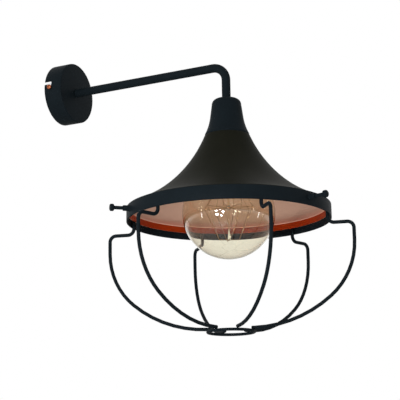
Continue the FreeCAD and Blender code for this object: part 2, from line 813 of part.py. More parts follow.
# ---- bulb --------------------------------------------------------------------------------------------------------
def bulb_cap():
    """The rolled metal cap; its round thread is drawn as equal rings at the thread's pitch."""
    outer = bulb_cap_radius
    inner = bulb_cap_bore
    root = outer - bulb_thread_depth
    points = [(root, bulb_cap_top), ]
    turns = int((bulb_cap_length - 4) / bulb_thread_pitch)
    level = bulb_cap_top - 1.0
    points.append((root, level))
    for _ in range(turns):
        crest = (outer, level - bulb_thread_pitch / 2)
        points.append(crest)
        level -= bulb_thread_pitch
        points.append((root, level))
    points += [(outer - 0.2, bulb_cap_bottom + 1.6), (outer - 0.2, bulb_cap_bottom),
               (inner, bulb_cap_bottom), (inner, bulb_cap_top)]
    return spin(points)


def bulb_insulator():
    top = bulb_cap_top + bulb_insulator_height
    outer = bulb_cap_radius - bulb_thread_depth
    return spin([(0, bulb_cap_top), (outer, bulb_cap_top), (bulb_tip_radius + 1.4, top), (0, top)])


def bulb_contact():
    low = bulb_tip - bulb_tip_height
    return spin([(0, low), (bulb_tip_radius, low), (bulb_tip_radius - bulb_tip_height, bulb_tip), (0, bulb_tip)])


def globe_outline(inset):
    """Points of the glass from the cap to the globe's lowest point, moved inwards by inset."""
    radius = globe_radius - inset
    drop = bulb_cap_bottom - neck_glass_straight - globe_centre
    flare = drop ** 2 - globe_radius ** 2 + neck_glass_radius ** 2
    fillet = flare / (2 * (globe_radius - neck_glass_radius)) + inset
    neck = neck_glass_radius - inset
    centre_x = neck + fillet
    reach = radius + fillet
    fillet_centre = (centre_x, globe_centre + drop)
    touch = (centre_x * radius / reach, globe_centre + drop * radius / reach)
    toward = math.degrees(math.atan2(globe_centre - fillet_centre[1], -centre_x))
    fillet_middle = arc_point(fillet_centre, fillet, (180 + (toward % 360)) / 2)
    neck_end = (neck, fillet_centre[1])
    start_angle = math.degrees(math.atan2(touch[1] - globe_centre, touch[0]))
    globe_middle = arc_point((0, globe_centre), radius, (start_angle - 90) / 2)
    return neck_end, fillet_middle, touch, globe_middle, (0, globe_centre - radius)


def bulb_glass():
    """The blown clear envelope: a globe drawn up into a neck inside the cap."""
    top = bulb_cap_bottom + glass_in_cap
    neck, fillet_mid, touch, globe_mid, low = globe_outline(0)
    neck_i, fillet_mid_i, touch_i, globe_mid_i, low_i = globe_outline(glass_wall)
    outer_top = bulb_cap_bore
    return spin([
        (outer_top, top), (outer_top, bulb_cap_bottom), neck, (touch[0], touch[1], fillet_mid),
        (low[0], low[1], globe_mid), low_i, (touch_i[0], touch_i[1], globe_mid_i),
        (neck_i[0], neck_i[1], fillet_mid_i), (outer_top - glass_wall, bulb_cap_bottom),
        (outer_top - glass_wall, top),
    ])


def bulb_stem():
    """The glass mount: a flare sealed in the neck, a tube, a thin rod and its foot."""
    tube_end = stem_base - stem_tube_length
    top_button = globe_centre + top_hook_height
    mid_button = globe_centre + mid_hook_height
    foot_start = stem_end + stem_foot_height
    sealed = bulb_cap_bore - glass_wall
    points = [(0, stem_base), (sealed, stem_base), (sealed, stem_base - 1),
              (stem_tube_radius, stem_base - stem_flare_height, (stem_tube_radius + 1.6, stem_base - 4)),
              (stem_tube_radius, tube_end), (stem_rod_radius, tube_end - 3)]
    for level in (top_button, mid_button):
        points += [(stem_rod_radius, level + button_radius),
                   (stem_rod_radius, level - button_radius, (button_radius, level))]
    points += [(stem_rod_radius * 0.6, foot_start), (stem_foot_radius, stem_end + 0.8),
               (stem_foot_radius * 0.7, stem_end), (0, stem_end)]
    return spin(points)


def hook_places():
    """Corners of the zigzag filament: high, middle and low hooks, strand by strand."""
    step = 360.0 / strand_count
    high = globe_centre + top_hook_height
    middle = globe_centre + mid_hook_height
    low = stem_end + 3 * support_radius
    corners = []
    for k in range(strand_count):
        angle = wire_first_angle + step * k
        pair = angle + step / 2 if k % 2 == 0 else angle - step / 2
        other = angle - step / 2 if k % 2 == 0 else angle + step / 2
        strand = [at_lamp(top_hook_radius, other, high), at_lamp(mid_hook_radius, angle, middle),
                  at_lamp(low_hook_radius, pair, low)]
        corners += strand if k % 2 == 0 else strand[::-1]
    return corners


def distinct(points):
    kept = []
    for point in points:
        if all(point.distanceToPoint(other) > 0.01 for other in kept):
            kept.append(point)
    return kept


def bulb_filament():
    corners = hook_places()
    pieces = []
    for start, end in zip(corners, corners[1:]):
        run = end - start
        if run.Length > 0.01:
            pieces.append(rod(start, run, filament_radius, run.Length))
    for point in distinct(corners):
        pieces.append(Part.makeSphere(filament_radius * 1.05, point))
    return pieces[0].multiFuse(pieces[1:])


def bulb_supports():
    """Fine wires from the stem's buttons and foot out to each hook."""
    stem = bulb_stem()
    filament = bulb_filament()
    wires = []
    for point in distinct(hook_places()):
        centre = LAMP + UP * point.z
        run = point - centre
        wire = rod(centre, run, support_radius, run.Length)
        wires += wire.cut(stem).cut(filament).Solids
    return Part.makeCompound([w for w in wires if w.Volume > 0.3])


# ---- cage ---------------------------------------------------------------------------------------------------------
def cage_band():
    base = LAMP + UP * band_bottom
    band = tube(base, UP, band_radius, band_radius - band_wall, band_height)
    for angle in screw_angles:
        start = at_lamp(band_radius - 3 * band_wall, angle, screw_height)
        hole_radius = thumb_shank_diameter / 2 + thumb_thread_clearance
        band = band.cut(rod(start, radial(angle), hole_radius, 6 * band_wall))
    return band


def cage_wire(angle):
    """One bent bar: weld length, step outwards, straight side, two-arc belly and foot."""
    out = radial(angle)

    def place(radius, height):
        return LAMP + out * radius + UP * height

    step = filleted_path([place(wire_inner_place, rim_end - wire_top_below_rim),
                          place(wire_inner_place, step_level), place(cage_radius, step_level),
                          place(cage_radius, belly_top)], wire_step_bend)
    side = cage_belly_side_radius
    width = cage_radius - cage_belly_foot_radius
    rise = cage_belly_height
    foot = ((width - side) ** 2 + rise ** 2 - side ** 2) / (2 * (rise - side))
    side_centre = (cage_radius - side, belly_top)
    foot_centre = (cage_belly_foot_radius, belly_foot + foot)
    turn = math.atan2(side_centre[1] - foot_centre[1], side_centre[0] - foot_centre[0])
    change = math.degrees(turn)
    first_middle = arc_point(side_centre, side, change / 2)
    joint = arc_point(side_centre, side, change)
    second_middle = arc_point(foot_centre, foot, (change - 90) / 2)
    edges = list(step.Edges)
    edges.append(Part.Arc(place(cage_radius, belly_top), place(*first_middle), place(*joint)).toShape())
    edges.append(Part.Arc(place(*joint), place(*second_middle),
                          place(cage_belly_foot_radius, belly_foot)).toShape())
    edges.append(Part.LineSegment(place(cage_belly_foot_radius, belly_foot),
                                  place(wire_end_radius, belly_foot)).toShape())
    return sweep(Part.Wire(edges), wire_radius)


def cage_ring():
    return Part.makeTorus(ring_centre_radius, ring_wire_diameter / 2, LAMP + UP * ring_level, UP)


def screw_boss(angle):
    """A threaded bush welded on the band."""
    hole_radius = thumb_shank_diameter / 2 + thumb_thread_clearance
    start = at_lamp(band_radius - 1, angle, screw_height)
    boss = tube(start, radial(angle), boss_diameter / 2, hole_radius, boss_length + 1)
    face = [e for e in boss.Edges if len(e.Vertexes) == 1
            and (e.BoundBox.Center - at_lamp(band_radius + boss_length, angle, screw_height)).Length < 0.01
            and abs(e.BoundBox.ZLength - boss_diameter) < 0.1]
    boss = boss.makeChamfer(0.5, face)
    inside = Part.makeCylinder(band_radius, boss_diameter * 2,
                               LAMP + UP * (screw_height - boss_diameter))
    return boss.cut(inside)


def thumbscrew(angle):
    """A knurled-head screw whose tip presses on the shade's rim."""
    out = radial(angle)
    head_start = band_radius + boss_length + thumb_shank_exposed
    tip = shade_rim_radius + thumb_tip_gap
    shank = rod(at_lamp(tip, angle, screw_height), out, thumb_shank_diameter / 2, head_start - tip)
    base = at_lamp(head_start, angle, screw_height)
    head = rod(base, out, thumb_head_diameter / 2, thumb_head_length)
    rims = [e for e in head.Edges if len(e.Vertexes) == 1 and abs(e.Length - math.pi * thumb_head_diameter) < 0.1
            and abs(e.BoundBox.ZLength - thumb_head_diameter) < 0.1]
    rims = [e for e in rims if e.BoundBox.Center.distanceToPoint(base) < 0.01
            or e.BoundBox.Center.distanceToPoint(base + out * thumb_head_length) < 0.01]
    head = head.makeChamfer(thumb_head_chamfer, rims)
    grooves = []
    groove_radius = 2 * knurl_depth
    for k in range(knurl_count):
        turn = FreeCAD.Rotation(out, 360.0 / knurl_count * k)
        offset = turn.multVec(UP) * (thumb_head_diameter / 2 + groove_radius - knurl_depth)
        grooves.append(rod(base + offset, out, groove_radius, thumb_head_length))
    head = head.cut(Part.makeCompound(grooves))
    return shank.fuse(head)


def build():
    os.makedirs("parts", exist_ok=True)
    single = {
        "wall_bracket": wall_bracket, "canopy_screws": canopy_screws, "canopy": canopy,
        "arm_tube": arm_tube, "wall_nipple": wall_nipple, "arm_locknut": arm_locknut,
        "arm_washer": arm_washer, "nipple_bush": nipple_bush, "terminal_plate": terminal_plate,
        "terminal_block": terminal_block, "terminal_inserts": terminal_inserts,
        "terminal_screws": terminal_screws, "fixing_screw": fixing_screw, "earth_screw": earth_screw,
        "earth_lead": earth_lead, "neck_cap": neck_cap, "lamp_nipple": lamp_nipple,
        "neck_locknut": neck_locknut, "holder_cap": holder_cap, "holder_body": holder_body,
        "shade_ring": shade_ring, "holder_core": holder_core, "centre_contact": centre_contact,
        "screw_shell": screw_shell, "holder_terminals": holder_terminals, "holder_screws": holder_screws,
        "shade": shade,
        "bulb_cap": bulb_cap, "bulb_insulator": bulb_insulator, "bulb_contact": bulb_contact,
        "bulb_glass": bulb_glass, "bulb_stem": bulb_stem, "bulb_supports": bulb_supports,
        "bulb_filament": bulb_filament, "cage_band": cage_band, "cage_ring": cage_ring,
    }
    for name, make in single.items():
        export(name, make())
    export("live_lead", supply_lead(-pole_pitch, -1))
    export("neutral_lead", supply_lead(0.0, 1))
    for k, angle in enumerate(wire_angles, 1):
        export("cage_wire_%d" % k, cage_wire(angle))
    for k, angle in enumerate(screw_angles, 1):
        export("screw_boss_%d" % k, screw_boss(angle))
        export("thumbscrew_%d" % k, thumbscrew(angle))


build()
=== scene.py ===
"""Cage wall light: the visible lamp, dressed on the fixed frame of its construction model.

A black powder-coated arm, neck cap, shade, rim band and wire cage, a copper-lacquered shade
inside, a clear globe bulb in a moulded lampholder, and a round wall cup on a bayonet bracket.
All sizes are in metres, in the frame of the model: +Y into the wall, +Z up.
"""
import math

import bmesh
import bpy
from mathutils import Matrix, Vector


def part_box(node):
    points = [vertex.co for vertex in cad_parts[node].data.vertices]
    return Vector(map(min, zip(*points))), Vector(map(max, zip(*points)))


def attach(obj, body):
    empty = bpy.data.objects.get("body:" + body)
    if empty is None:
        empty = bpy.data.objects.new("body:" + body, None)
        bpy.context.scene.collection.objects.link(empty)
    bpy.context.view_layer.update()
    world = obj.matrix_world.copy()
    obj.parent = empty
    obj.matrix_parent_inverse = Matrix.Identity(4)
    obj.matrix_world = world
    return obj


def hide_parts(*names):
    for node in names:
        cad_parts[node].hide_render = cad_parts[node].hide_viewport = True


bl_info = {
    "name": "Cage wall light",
    "version": (1, 0, 0),
    "blender": (4, 5, 0),
    "location": "3D View > Sidebar > Cage light",
    "description": "Builds a wall light with a flared shade, a globe bulb and a clamped wire cage",
    "category": "Add Mesh",
}

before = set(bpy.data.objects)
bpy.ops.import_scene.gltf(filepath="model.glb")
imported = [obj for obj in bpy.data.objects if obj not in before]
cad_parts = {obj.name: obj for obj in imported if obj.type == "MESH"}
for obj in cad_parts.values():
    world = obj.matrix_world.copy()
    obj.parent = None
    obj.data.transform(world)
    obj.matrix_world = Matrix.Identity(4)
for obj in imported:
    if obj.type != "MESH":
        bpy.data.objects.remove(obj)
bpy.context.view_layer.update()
MM = 0.001
UP = Vector((0, 0, 1))


def middle(node):
    low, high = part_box(node)
    return (low + high) / 2


def top(node):
    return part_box(node)[1].z


def foot(node):
    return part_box(node)[0].z


AXIS = Vector((0, middle("cage_ring").y, 0))
ARM_REACH = -AXIS.y
SHADE_TOP = foot("neck_cap")
RIM_END = foot("shade")
BAND_TOP = top("cage_band")
GLOBE_FOOT = foot("bulb_glass")
FIRST_BUSH = middle("screw_boss_1")
SCREW_LEVEL = FIRST_BUSH.z
FIRST_WIRE = 103.4      # degrees from +X, seen from above, as in the model


# ---- settings ---------------------------------------------------------------------------
def length(name, description, size):
    return bpy.props.FloatProperty(name=name, description=description, default=size,
                                   unit="LENGTH", precision=5, min=0.0)


def angle(name, description, degrees):
    return bpy.props.FloatProperty(name=name, description=description,
                                   default=math.radians(degrees), unit="ROTATION")


def number(name, description, amount):
    return bpy.props.IntProperty(name=name, description=description, default=amount, min=1)


def from_hex(code):
    """An sRGB hex value as linear red, green and blue."""
    parts = [int(code[i:i + 2], 16) / 255 for i in (0, 2, 4)]
    return [p / 12.92 if p <= 0.04045 else ((p + 0.055) / 1.055) ** 2.4 for p in parts]


def colour(name, description, code):
    return bpy.props.FloatVectorProperty(name=name, description=description, size=3, subtype="COLOR",
                                         default=from_hex(code), min=0.0, max=1.0)


class WallCupSizes(bpy.types.PropertyGroup):
    diameter: length("Diameter", "Outside diameter of the wall cup", 0.0876)
    depth: length("Depth", "Wall to front face", 0.0274)
    wall: length("Sheet", "Thickness of the drawn sheet", 0.0012)
    edge: length("Front edge", "Rounding of the front edge", 0.0016)
    slot_width: length("Slot width", "Width of the bayonet slots", 0.0046)
    slot_seat: length("Slot seat", "Side screw's distance from the wall", 0.0092)
    slot_turn: angle("Slot turn", "Turn from the slot's mouth to its seat", 9.0)
    head_diameter: length("Screw head", "Diameter of a side screw's head", 0.0068)
    head_height: length("Screw head height", "Height of a side screw's head", 0.0024)
    head_gap: length("Screw gap", "Side screw's head to the cup", 0.0003)


class ArmSizes(bpy.types.PropertyGroup):
    reach: length("Reach", "Wall to lamp axis", ARM_REACH)
    diameter: length("Tube", "Outside diameter of the arm's tube", 0.012)
    wall: length("Tube wall", "Thickness of the tube's wall", 0.001)
    bend: length("Bend radius", "Radius of the bend, at the tube's middle", 0.020)


class NeckCapSizes(bpy.types.PropertyGroup):
    top_radius: length("Top radius", "Radius under the rounded corner", 0.0202)
    corner: length("Corner", "Rounding of the top corner", 0.008)
    waist_radius: length("Waist radius", "Radius where the sides start to flare", 0.0227)
    waist_drop: length("Waist drop", "Top face to the waist", 0.0261)
    foot_radius: length("Foot radius", "Radius on the shade", 0.0302)
    rim_height: length("Foot rim", "Height of the straight rim at the foot", 0.0022)
    wall: length("Sheet", "Thickness of the spun sheet", 0.0012)
    edge: length("Foot edge", "Rounding of the foot's outer edge", 0.0009)


class ShadeSizes(bpy.types.PropertyGroup):
    top_radius: length("Top radius", "Radius of the flat top", 0.0308)
    hole_radius: length("Hole radius", "Radius of the lampholder's hole", 0.020)
    rim_radius: length("Rim radius", "Outside radius of the rim", 0.1345)
    flare_height: length("Flare height", "Top face to the start of the rim", 0.0993)
    rim_height: length("Rim height", "Height of the straight rim", 0.010)
    start_angle: angle("Start angle", "Slope of the flare at the top, off the axis", 22.64)
    shoulder: length("Shoulder", "Rounding between the flat top and the flare", 0.001)
    rim_corner: length("Rim corner", "Rounding between flare and rim", 0.0025)
    wall: length("Sheet", "Thickness of the spun sheet", 0.001)


class CageSizes(bpy.types.PropertyGroup):
    band_radius: length("Band radius", "Outside radius of the rim band", 0.137)
    band_wall: length("Band sheet", "Thickness of the band", 0.002)
    band_height: length("Band height", "Height of the band", 0.0184)
    wires: number("Wires", "Number of cage wires", 6)
    wire_diameter: length("Wire", "Diameter of a cage wire", 0.0048)
    step_drop: length("Step drop", "Band's lower edge to the outward step", 0.0101)
    step_bend: length("Step bend", "Radius of the step's bends", 0.0085)
    widest: length("Widest radius", "Radius of the wires' circle at its widest", 0.1665)
    straight: length("Straight side", "Step to the start of the belly", 0.025)
    belly_height: length("Belly height", "Height of the curved belly", 0.1083)
    belly_side: length("Belly side radius", "Radius of the belly's upper arc", 0.093)
    foot_radius: length("Foot radius", "Radius where the belly ends", 0.0313)
    end_radius: length("End radius", "Radius of the wires' cut ends", 0.0274)
    ring_radius: length("Ring radius", "Radius of the bottom ring, at its middle", 0.0308)
    ring_diameter: length("Ring wire", "Diameter of the bottom ring's wire", 0.004)


class ThumbscrewSizes(bpy.types.PropertyGroup):
    screws: number("Screws", "Number of thumbscrews", 3)
    boss_diameter: length("Boss", "Diameter of the welded bush", 0.0076)
    boss_length: length("Boss length", "Length of the welded bush", 0.0087)
    shank_diameter: length("Shank", "Diameter of the screw's thread", 0.0048)
    exposed: length("Exposed shank", "Boss to head", 0.0124)
    head_diameter: length("Head", "Diameter of the knurled head", 0.0096)
    head_length: length("Head length", "Length of the knurled head", 0.0052)
    pitch: length("Pitch", "Pitch of the screw's thread", 0.0008)
    tip_gap: length("Tip gap", "Tip to the shade's rim", 0.0003)


class BulbSizes(bpy.types.PropertyGroup):
    globe_radius: length("Globe radius", "Outside radius of the glass globe", 0.0625)
    glass_wall: length("Glass", "Thickness of the glass", 0.0008)
    neck_radius: length("Neck radius", "Radius of the glass neck", 0.0124)
    cap_radius: length("Cap radius", "Outside radius of the screw cap's thread", 0.01315)
    cap_pitch: length("Cap pitch", "Pitch of the screw cap's thread", 0.00362)


class FinishColours(bpy.types.PropertyGroup):
    powder_coat: colour("Powder coat", "Black polyester powder coat", "151b1f")
    enamel: colour("Shade enamel", "Black enamel outside the shade", "191913")
    copper: colour("Copper lacquer", "Lacquer inside the shade", "f8c6ad")
    glass: colour("Bulb glass", "Tint of the clear glass", "f8f5e8")
    brass: colour("Brass", "Turned brass", "c49a5a")
    zinc: colour("Zinc plate", "Bright zinc plate", "b4b6b8")


class StageSettings(bpy.types.PropertyGroup):
    camera_place: bpy.props.FloatVectorProperty(
        name="Camera", description="Where the camera stands", size=3, subtype="TRANSLATION",
        unit="LENGTH", default=(-1.437834, -0.960760, -0.554944))
    camera_heading: angle("Heading", "Camera's turn from the wall's normal", -62.967125)
    camera_lift: angle("Lift", "Camera's upward tilt", 12.940324)
    camera_roll: angle("Roll", "Camera's turn about its own axis", -0.883140)
    lens: bpy.props.FloatProperty(name="Lens", description="Focal length in millimetres on a 36 mm sensor",
                                  default=109.662)
    cluster_turn: angle("Lamp cluster turn", "Lamp cluster's turn to the left of the eye", 22.0)
    cluster_lift: angle("Lamp cluster lift", "Lamp cluster's rise above the eye", 4.0)
    cluster_distance: length("Lamp cluster distance", "From the globe's centre", 1.45)
    cluster_spread: length("Lamp cluster radius", "Radius of the ring of lamps", 0.22)
    key_power: bpy.props.FloatProperty(name="Cluster power", description="All five lamps, in watts",
                                       default=16.0)
    floor_level: length("Floor", "Depth of the floor below the wall cup's centre", 0.95)


SETTINGS = {
    "cup": WallCupSizes, "arm": ArmSizes, "cap": NeckCapSizes, "shade": ShadeSizes,
    "cage": CageSizes, "thumbscrew": ThumbscrewSizes, "bulb": BulbSizes,
    "finish": FinishColours, "stage": StageSettings,
}


def settings(group):
    return getattr(bpy.context.scene, "cage_light_" + group)


# ---- drawing and shaping ------------------------------------------------------------------
def clear_selection():
    if bpy.context.object and bpy.context.object.mode != "OBJECT":
        bpy.ops.object.mode_set(mode="OBJECT")
    bpy.ops.object.select_all(action="DESELECT")


def place_primitive(name, add, **options):
    """Adds a primitive with its place kept in its mesh, and leaves it active in object mode."""
    clear_selection()
    add(**options)
    piece = bpy.context.object
    piece.name = piece.data.name = name
    bpy.ops.object.transform_apply(location=True, rotation=True, scale=True)
    return piece


def activate(piece):
    clear_selection()
    piece.select_set(True)
    bpy.context.view_layer.objects.active = piece
    return piece


def edit(piece):
    activate(piece)
    bpy.ops.object.mode_set(mode="EDIT")
    bpy.ops.mesh.select_all(action="SELECT")


def pick(piece, parts, wanted):
    """Selects, in edit mode, the vertices or faces of a piece that the test wants."""
    edit(piece)
    bpy.ops.mesh.select_all(action="DESELECT")
    mesh = bmesh.from_edit_mesh(piece.data)
    for part in getattr(mesh, parts):
        if wanted(part):
            part.select = True
    mesh.select_flush_mode()
    bmesh.update_edit_mesh(piece.data)


def leave():
    bpy.ops.object.mode_set(mode="OBJECT")


def arc(centre, radius, start, end, steps):
    """Points of an arc between two angles in degrees, in the plane of an outline."""
    turns = [math.radians(start + (end - start) * k / steps) for k in range(steps + 1)]
    return [(centre[0] + radius * math.cos(t), centre[1] + radius * math.sin(t)) for t in turns]


def rounded(points, radii, steps=5):
    """An outline whose corners are rounded, each by its own radius; 0 leaves a corner sharp."""
    out = []
    last = len(points) - 1
    for k, (point, radius) in enumerate(zip(points, radii)):
        if radius <= 0 or k in (0, last):
            out.append(point)
            continue
        here = Vector(point)
        back = (Vector(points[k - 1]) - here).normalized()
        ahead = (Vector(points[k + 1]) - here).normalized()
        half = back.angle(ahead) / 2
        setback = radius / math.tan(half)
        centre = here + (back + ahead).normalized() * (radius / math.sin(half))
        start = here + back * setback - centre
        sweep = math.pi - 2 * half
        way = 1 if back.y * ahead.x > back.x * ahead.y else -1
        for j in range(steps + 1):
            out.append(tuple(centre + Matrix.Rotation(way * sweep * j / steps, 2) @ start))
    return out


def draw_outline(name, points):
    """Draws a chain of edges by extruding one vertex from point to point; stays in edit mode."""
    place_primitive(name, bpy.ops.mesh.primitive_circle_add, vertices=3, radius=0.001,
                    location=points[0])
    bpy.ops.object.mode_set(mode="EDIT")
    bpy.ops.mesh.select_all(action="SELECT")
    bpy.ops.mesh.merge(type="CENTER")
    for before, point in zip(points, points[1:]):
        step = [b - a for a, b in zip(before, point)]
        bpy.ops.mesh.extrude_region_move(TRANSFORM_OT_translate={"value": step})
    return bpy.context.object


def spin_selected(angle_turned, centre, axis, steps):
    bpy.ops.mesh.spin(steps=steps, angle=angle_turned, center=centre, axis=axis)


def spun(name, outline, steps=128, axis="Z", base=None):
    """Spins an outline of (radius, level) points about the lamp axis, or the cup's along Y."""
    if axis == "Z":
        base = AXIS if base is None else base
        points = [(base.x + r, base.y, base.z + h) for r, h in outline]
        direction = (0, 0, 1)
    else:
        base = Vector((0, 0, 0)) if base is None else base
        points = [(base.x + r, base.y + h, base.z) for r, h in outline]
        direction = (0, 1, 0)
    piece = draw_outline(name, points)
    bpy.ops.mesh.select_all(action="SELECT")
    bpy.ops.mesh.remove_doubles(threshold=1e-6)
    bpy.ops.mesh.select_all(action="SELECT")
    spin_selected(2 * math.pi, base, direction, steps)
    weld(2e-6)
    leave()
    return piece


def bar(name, radius, start, heading, moves, sides=20):
    """A round bar: a ring drawn along straight runs and turned about bend centres.

    A move is ("run", length) or ("bend", degrees, radius, toward) with toward the unit vector
    from the bar to the bend's centre.
    """
    turn = heading.to_track_quat("Z", "Y").to_euler()
    place_primitive(name, bpy.ops.mesh.primitive_circle_add, vertices=sides, radius=radius,
                    location=start, rotation=turn)
    bpy.ops.object.mode_set(mode="EDIT")
    bpy.ops.mesh.select_all(action="SELECT")
    place = start.copy()
    for move in moves:
        if move[0] == "run":
            step = heading * move[1]
            bpy.ops.mesh.extrude_region_move(TRANSFORM_OT_translate={"value": step})
            place += step
        else:
            degrees, bend_radius, toward = move[1:]
            centre = place + toward * bend_radius
            axis = toward.cross(heading) * -1
            rotation = Matrix.Rotation(math.radians(degrees), 3, axis)
            steps = max(2, round(abs(degrees) / 6))
            spin_selected(-math.radians(degrees), centre, axis, steps)
            place = centre + rotation @ (place - centre)
            heading = rotation @ heading
    return bpy.context.object


def weld(threshold=1e-6):
    """Merges doubled vertices of the mesh in edit mode and turns its faces outwards."""
    bpy.ops.mesh.select_all(action="SELECT")
    bpy.ops.mesh.remove_doubles(threshold=threshold)
    bpy.ops.mesh.select_all(action="SELECT")
    bpy.ops.mesh.normals_make_consistent(inside=False)


def close_bar(piece, chamfer=0.0):
    """Fills both cut ends of a bar, and breaks their edges."""
    bpy.ops.mesh.select_all(action="SELECT")
    bpy.ops.mesh.remove_doubles(threshold=1e-6)
    bpy.ops.mesh.select_all(action="SELECT")
    bpy.ops.mesh.fill_holes(sides=0)
    bpy.ops.mesh.select_all(action="SELECT")
    bpy.ops.mesh.normals_make_consistent(inside=False)
    leave()
    if chamfer:
        finish_with(piece, "BEVEL", width=chamfer, segments=2, limit_method="ANGLE",
                    angle_limit=math.radians(50))
    return smooth(piece)


def finish_with(piece, kind, **options):
    """Adds a modifier with its settings and applies it."""
    activate(piece)
    modifier = piece.modifiers.new(kind.title(), kind)
    for key, value in options.items():
        setattr(modifier, key, value)
    bpy.ops.object.modifier_apply(modifier=modifier.name)
    return piece


def cut(piece, tool):
    """Cuts a tool piece out of a piece; the tool is then removed."""
    finish_with(piece, "BOOLEAN", operation="DIFFERENCE", object=tool, solver="EXACT")
    bpy.data.objects.remove(tool, do_unlink=True)
    return piece


def smooth(piece, degrees=32):
    activate(piece)
    bpy.ops.object.shade_smooth_by_angle(angle=math.radians(degrees))
    return piece


def move_mesh(piece, matrix):
    """Moves a finished piece, and puts its place back into its mesh."""
    activate(piece)
    piece.matrix_world = matrix
    bpy.ops.object.transform_apply(location=True, rotation=True, scale=True)
    return piece


def turned_about(base, degrees):
    """A turn about the vertical line through base."""
    turn = Matrix.Rotation(math.radians(degrees), 4, "Z")
    return Matrix.Translation(base) @ turn @ Matrix.Translation(-base)


def copy_of(piece, name):
    activate(piece)
    bpy.ops.object.duplicate(linked=False)
    twin = bpy.context.object
    twin.name = twin.data.name = name
    return twin


def join_into(piece, *others):
    activate(piece)
    for other in others:
        other.select_set(True)
    bpy.ops.object.join()
    return piece


def fit_out(piece, body, slot, materials, *nodes):
    """Gives a finished piece its body and its finishes, and hides the nodes it stands for; the slot is not
    used.
    """
    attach(piece, body)
    if nodes:
        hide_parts(*nodes)
    for finish in materials:
        if finish.name not in piece.data.materials:
            piece.data.materials.append(finish)
    return piece


def coat(piece, body, *nodes):
    """Fits out a piece in the black powder coat."""
    fit_out(piece, body, "black_powder_coat", [black_powder_coat()], *nodes)


def dress_node(name, finish):
    """Gives a node of the model its finish; its shape stays as it is."""
    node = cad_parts[name]
    node.data.materials.clear()
    node.data.materials.append(finish)


# ---- finishes ---------------------------------------------------------------------------------
def add_node(tree, kind, settings_of=(), links=()):
    """Adds a node with its settings, and links (socket, source node, source socket) into it."""
    node = tree.nodes.new(kind)
    for key, value in dict(settings_of).items():
        if key in node.inputs:
            node.inputs[key].default_value = value
        else:
            setattr(node, key, value)
    for socket, source, output in links:
        tree.links.new(source.outputs[output], node.inputs[socket])
    return node


def new_finish(name):
    """An empty material and its node tree, or the finished material and None."""
    finish = bpy.data.materials.get(name)
    if finish:
        return finish, None
    finish = bpy.data.materials.new(name)
    finish.use_nodes = True
    finish.node_tree.nodes.clear()
    return finish, finish.node_tree


def surface(tree, shader):
    add_node(tree, "ShaderNodeOutputMaterial", {}, [("Surface", shader, 0)])


def rgba(values):
    return (*values, 1.0)


def grained(name, base, tones, gloss, fine, broad=None, bump=None, **shader):
    """A finish whose gloss varies with a fine grain and whose tone drifts with a broad one."""
    finish, tree = new_finish(name)
    if tree is None:
        return finish
    place = add_node(tree, "ShaderNodeTexCoord")
    grain = add_node(tree, "ShaderNodeTexNoise", fine, [("Vector", place, "Object")])
    cloud = grain
    if broad:
        cloud = add_node(tree, "ShaderNodeTexNoise", broad, [("Vector", place, "Object")])
    tint = add_node(tree, "ShaderNodeMix", {"data_type": "RGBA"}, [("Factor", cloud, "Fac")])
    for socket, tone in zip((6, 7), tones):
        tint.inputs[socket].default_value = rgba(Vector(base) * tone)
    dull = add_node(tree, "ShaderNodeMapRange", {"To Min": gloss[0], "To Max": gloss[1]},
                    [("Value", grain, "Fac")])
    links = [("Roughness", dull, "Result")]
    if bump:
        links.append(("Normal", add_node(tree, "ShaderNodeBump", bump, [("Height", grain, "Fac")]), "Normal"))
    principled = add_node(tree, "ShaderNodeBsdfPrincipled", shader, links)
    tree.links.new(tint.outputs[2], principled.inputs["Base Color"])
    surface(tree, principled)
    return finish


def baked_coat(name, base, gloss):
    """A baked black coat on steel: matt, with a fine orange peel."""
    # The powder flows into a fine orange peel; its dimples are near 0.5 mm apart and are drawn
    # at 1.4 mm so that they show, and the film is slightly duller on its high spots.
    return grained(name, base, (0.82, 1.2), (gloss - 0.06, gloss + 0.08),
                   {"Scale": 700.0, "Detail": 2.0, "Roughness": 0.6}, {"Scale": 45.0, "Detail": 3.0},
                   {"Strength": 0.08, "Distance": 0.0002}, **{"Specular IOR Level": 0.02})


def black_powder_coat():
    return baked_coat("black powder coat", settings("finish").powder_coat, 0.46)


def shade_enamel():
    return baked_coat("black stoving enamel", settings("finish").enamel, 0.5)


def copper_lacquer(name="copper lacquer", tone=None):
    """Copper-coloured metallic lacquer, sprayed inside the shade."""
    # Metal flake in a satin lacquer: a broad soft sheen, with a very fine grain.
    return grained(name, tone or settings("finish").copper, (0.92, 1.06), (0.34, 0.46),
                   {"Scale": 1100.0, "Detail": 2.0}, {"Scale": 24.0, "Detail": 2.0},
                   {"Strength": 0.1, "Distance": 0.0001}, Metallic=0.8)


def rim_shade_lacquer():
    """Copper lacquer in a darker, deeper orange for the upright inside of the rim: painted shade, and a
    painted reflection of the copper facing it.
    """
    return copper_lacquer("copper lacquer, pooled at the rim", from_hex("b8420f"))


def clear_glass():
    """Blown soda-lime glass with a faint straw tint."""
    finish, tree = new_finish("clear bulb glass")
    if tree is None:
        return finish
    # Blown glass is smooth but not flat: slow waves, some 40 mm long, bend what shows through.
    place = add_node(tree, "ShaderNodeTexCoord")
    wave = add_node(tree, "ShaderNodeTexNoise", {"Scale": 25.0, "Detail": 1.0},
                    [("Vector", place, "Object")])
    bump = add_node(tree, "ShaderNodeBump", {"Strength": 0.05, "Distance": 0.001},
                    [("Height", wave, "Fac")])
    shader = add_node(tree, "ShaderNodeBsdfPrincipled",
                      {"Base Color": rgba(settings("finish").glass), "Roughness": 0.0, "IOR": 1.5,
                       "Transmission Weight": 1.0}, [("Normal", bump, "Normal")])
    surface(tree, shader)
    return finish


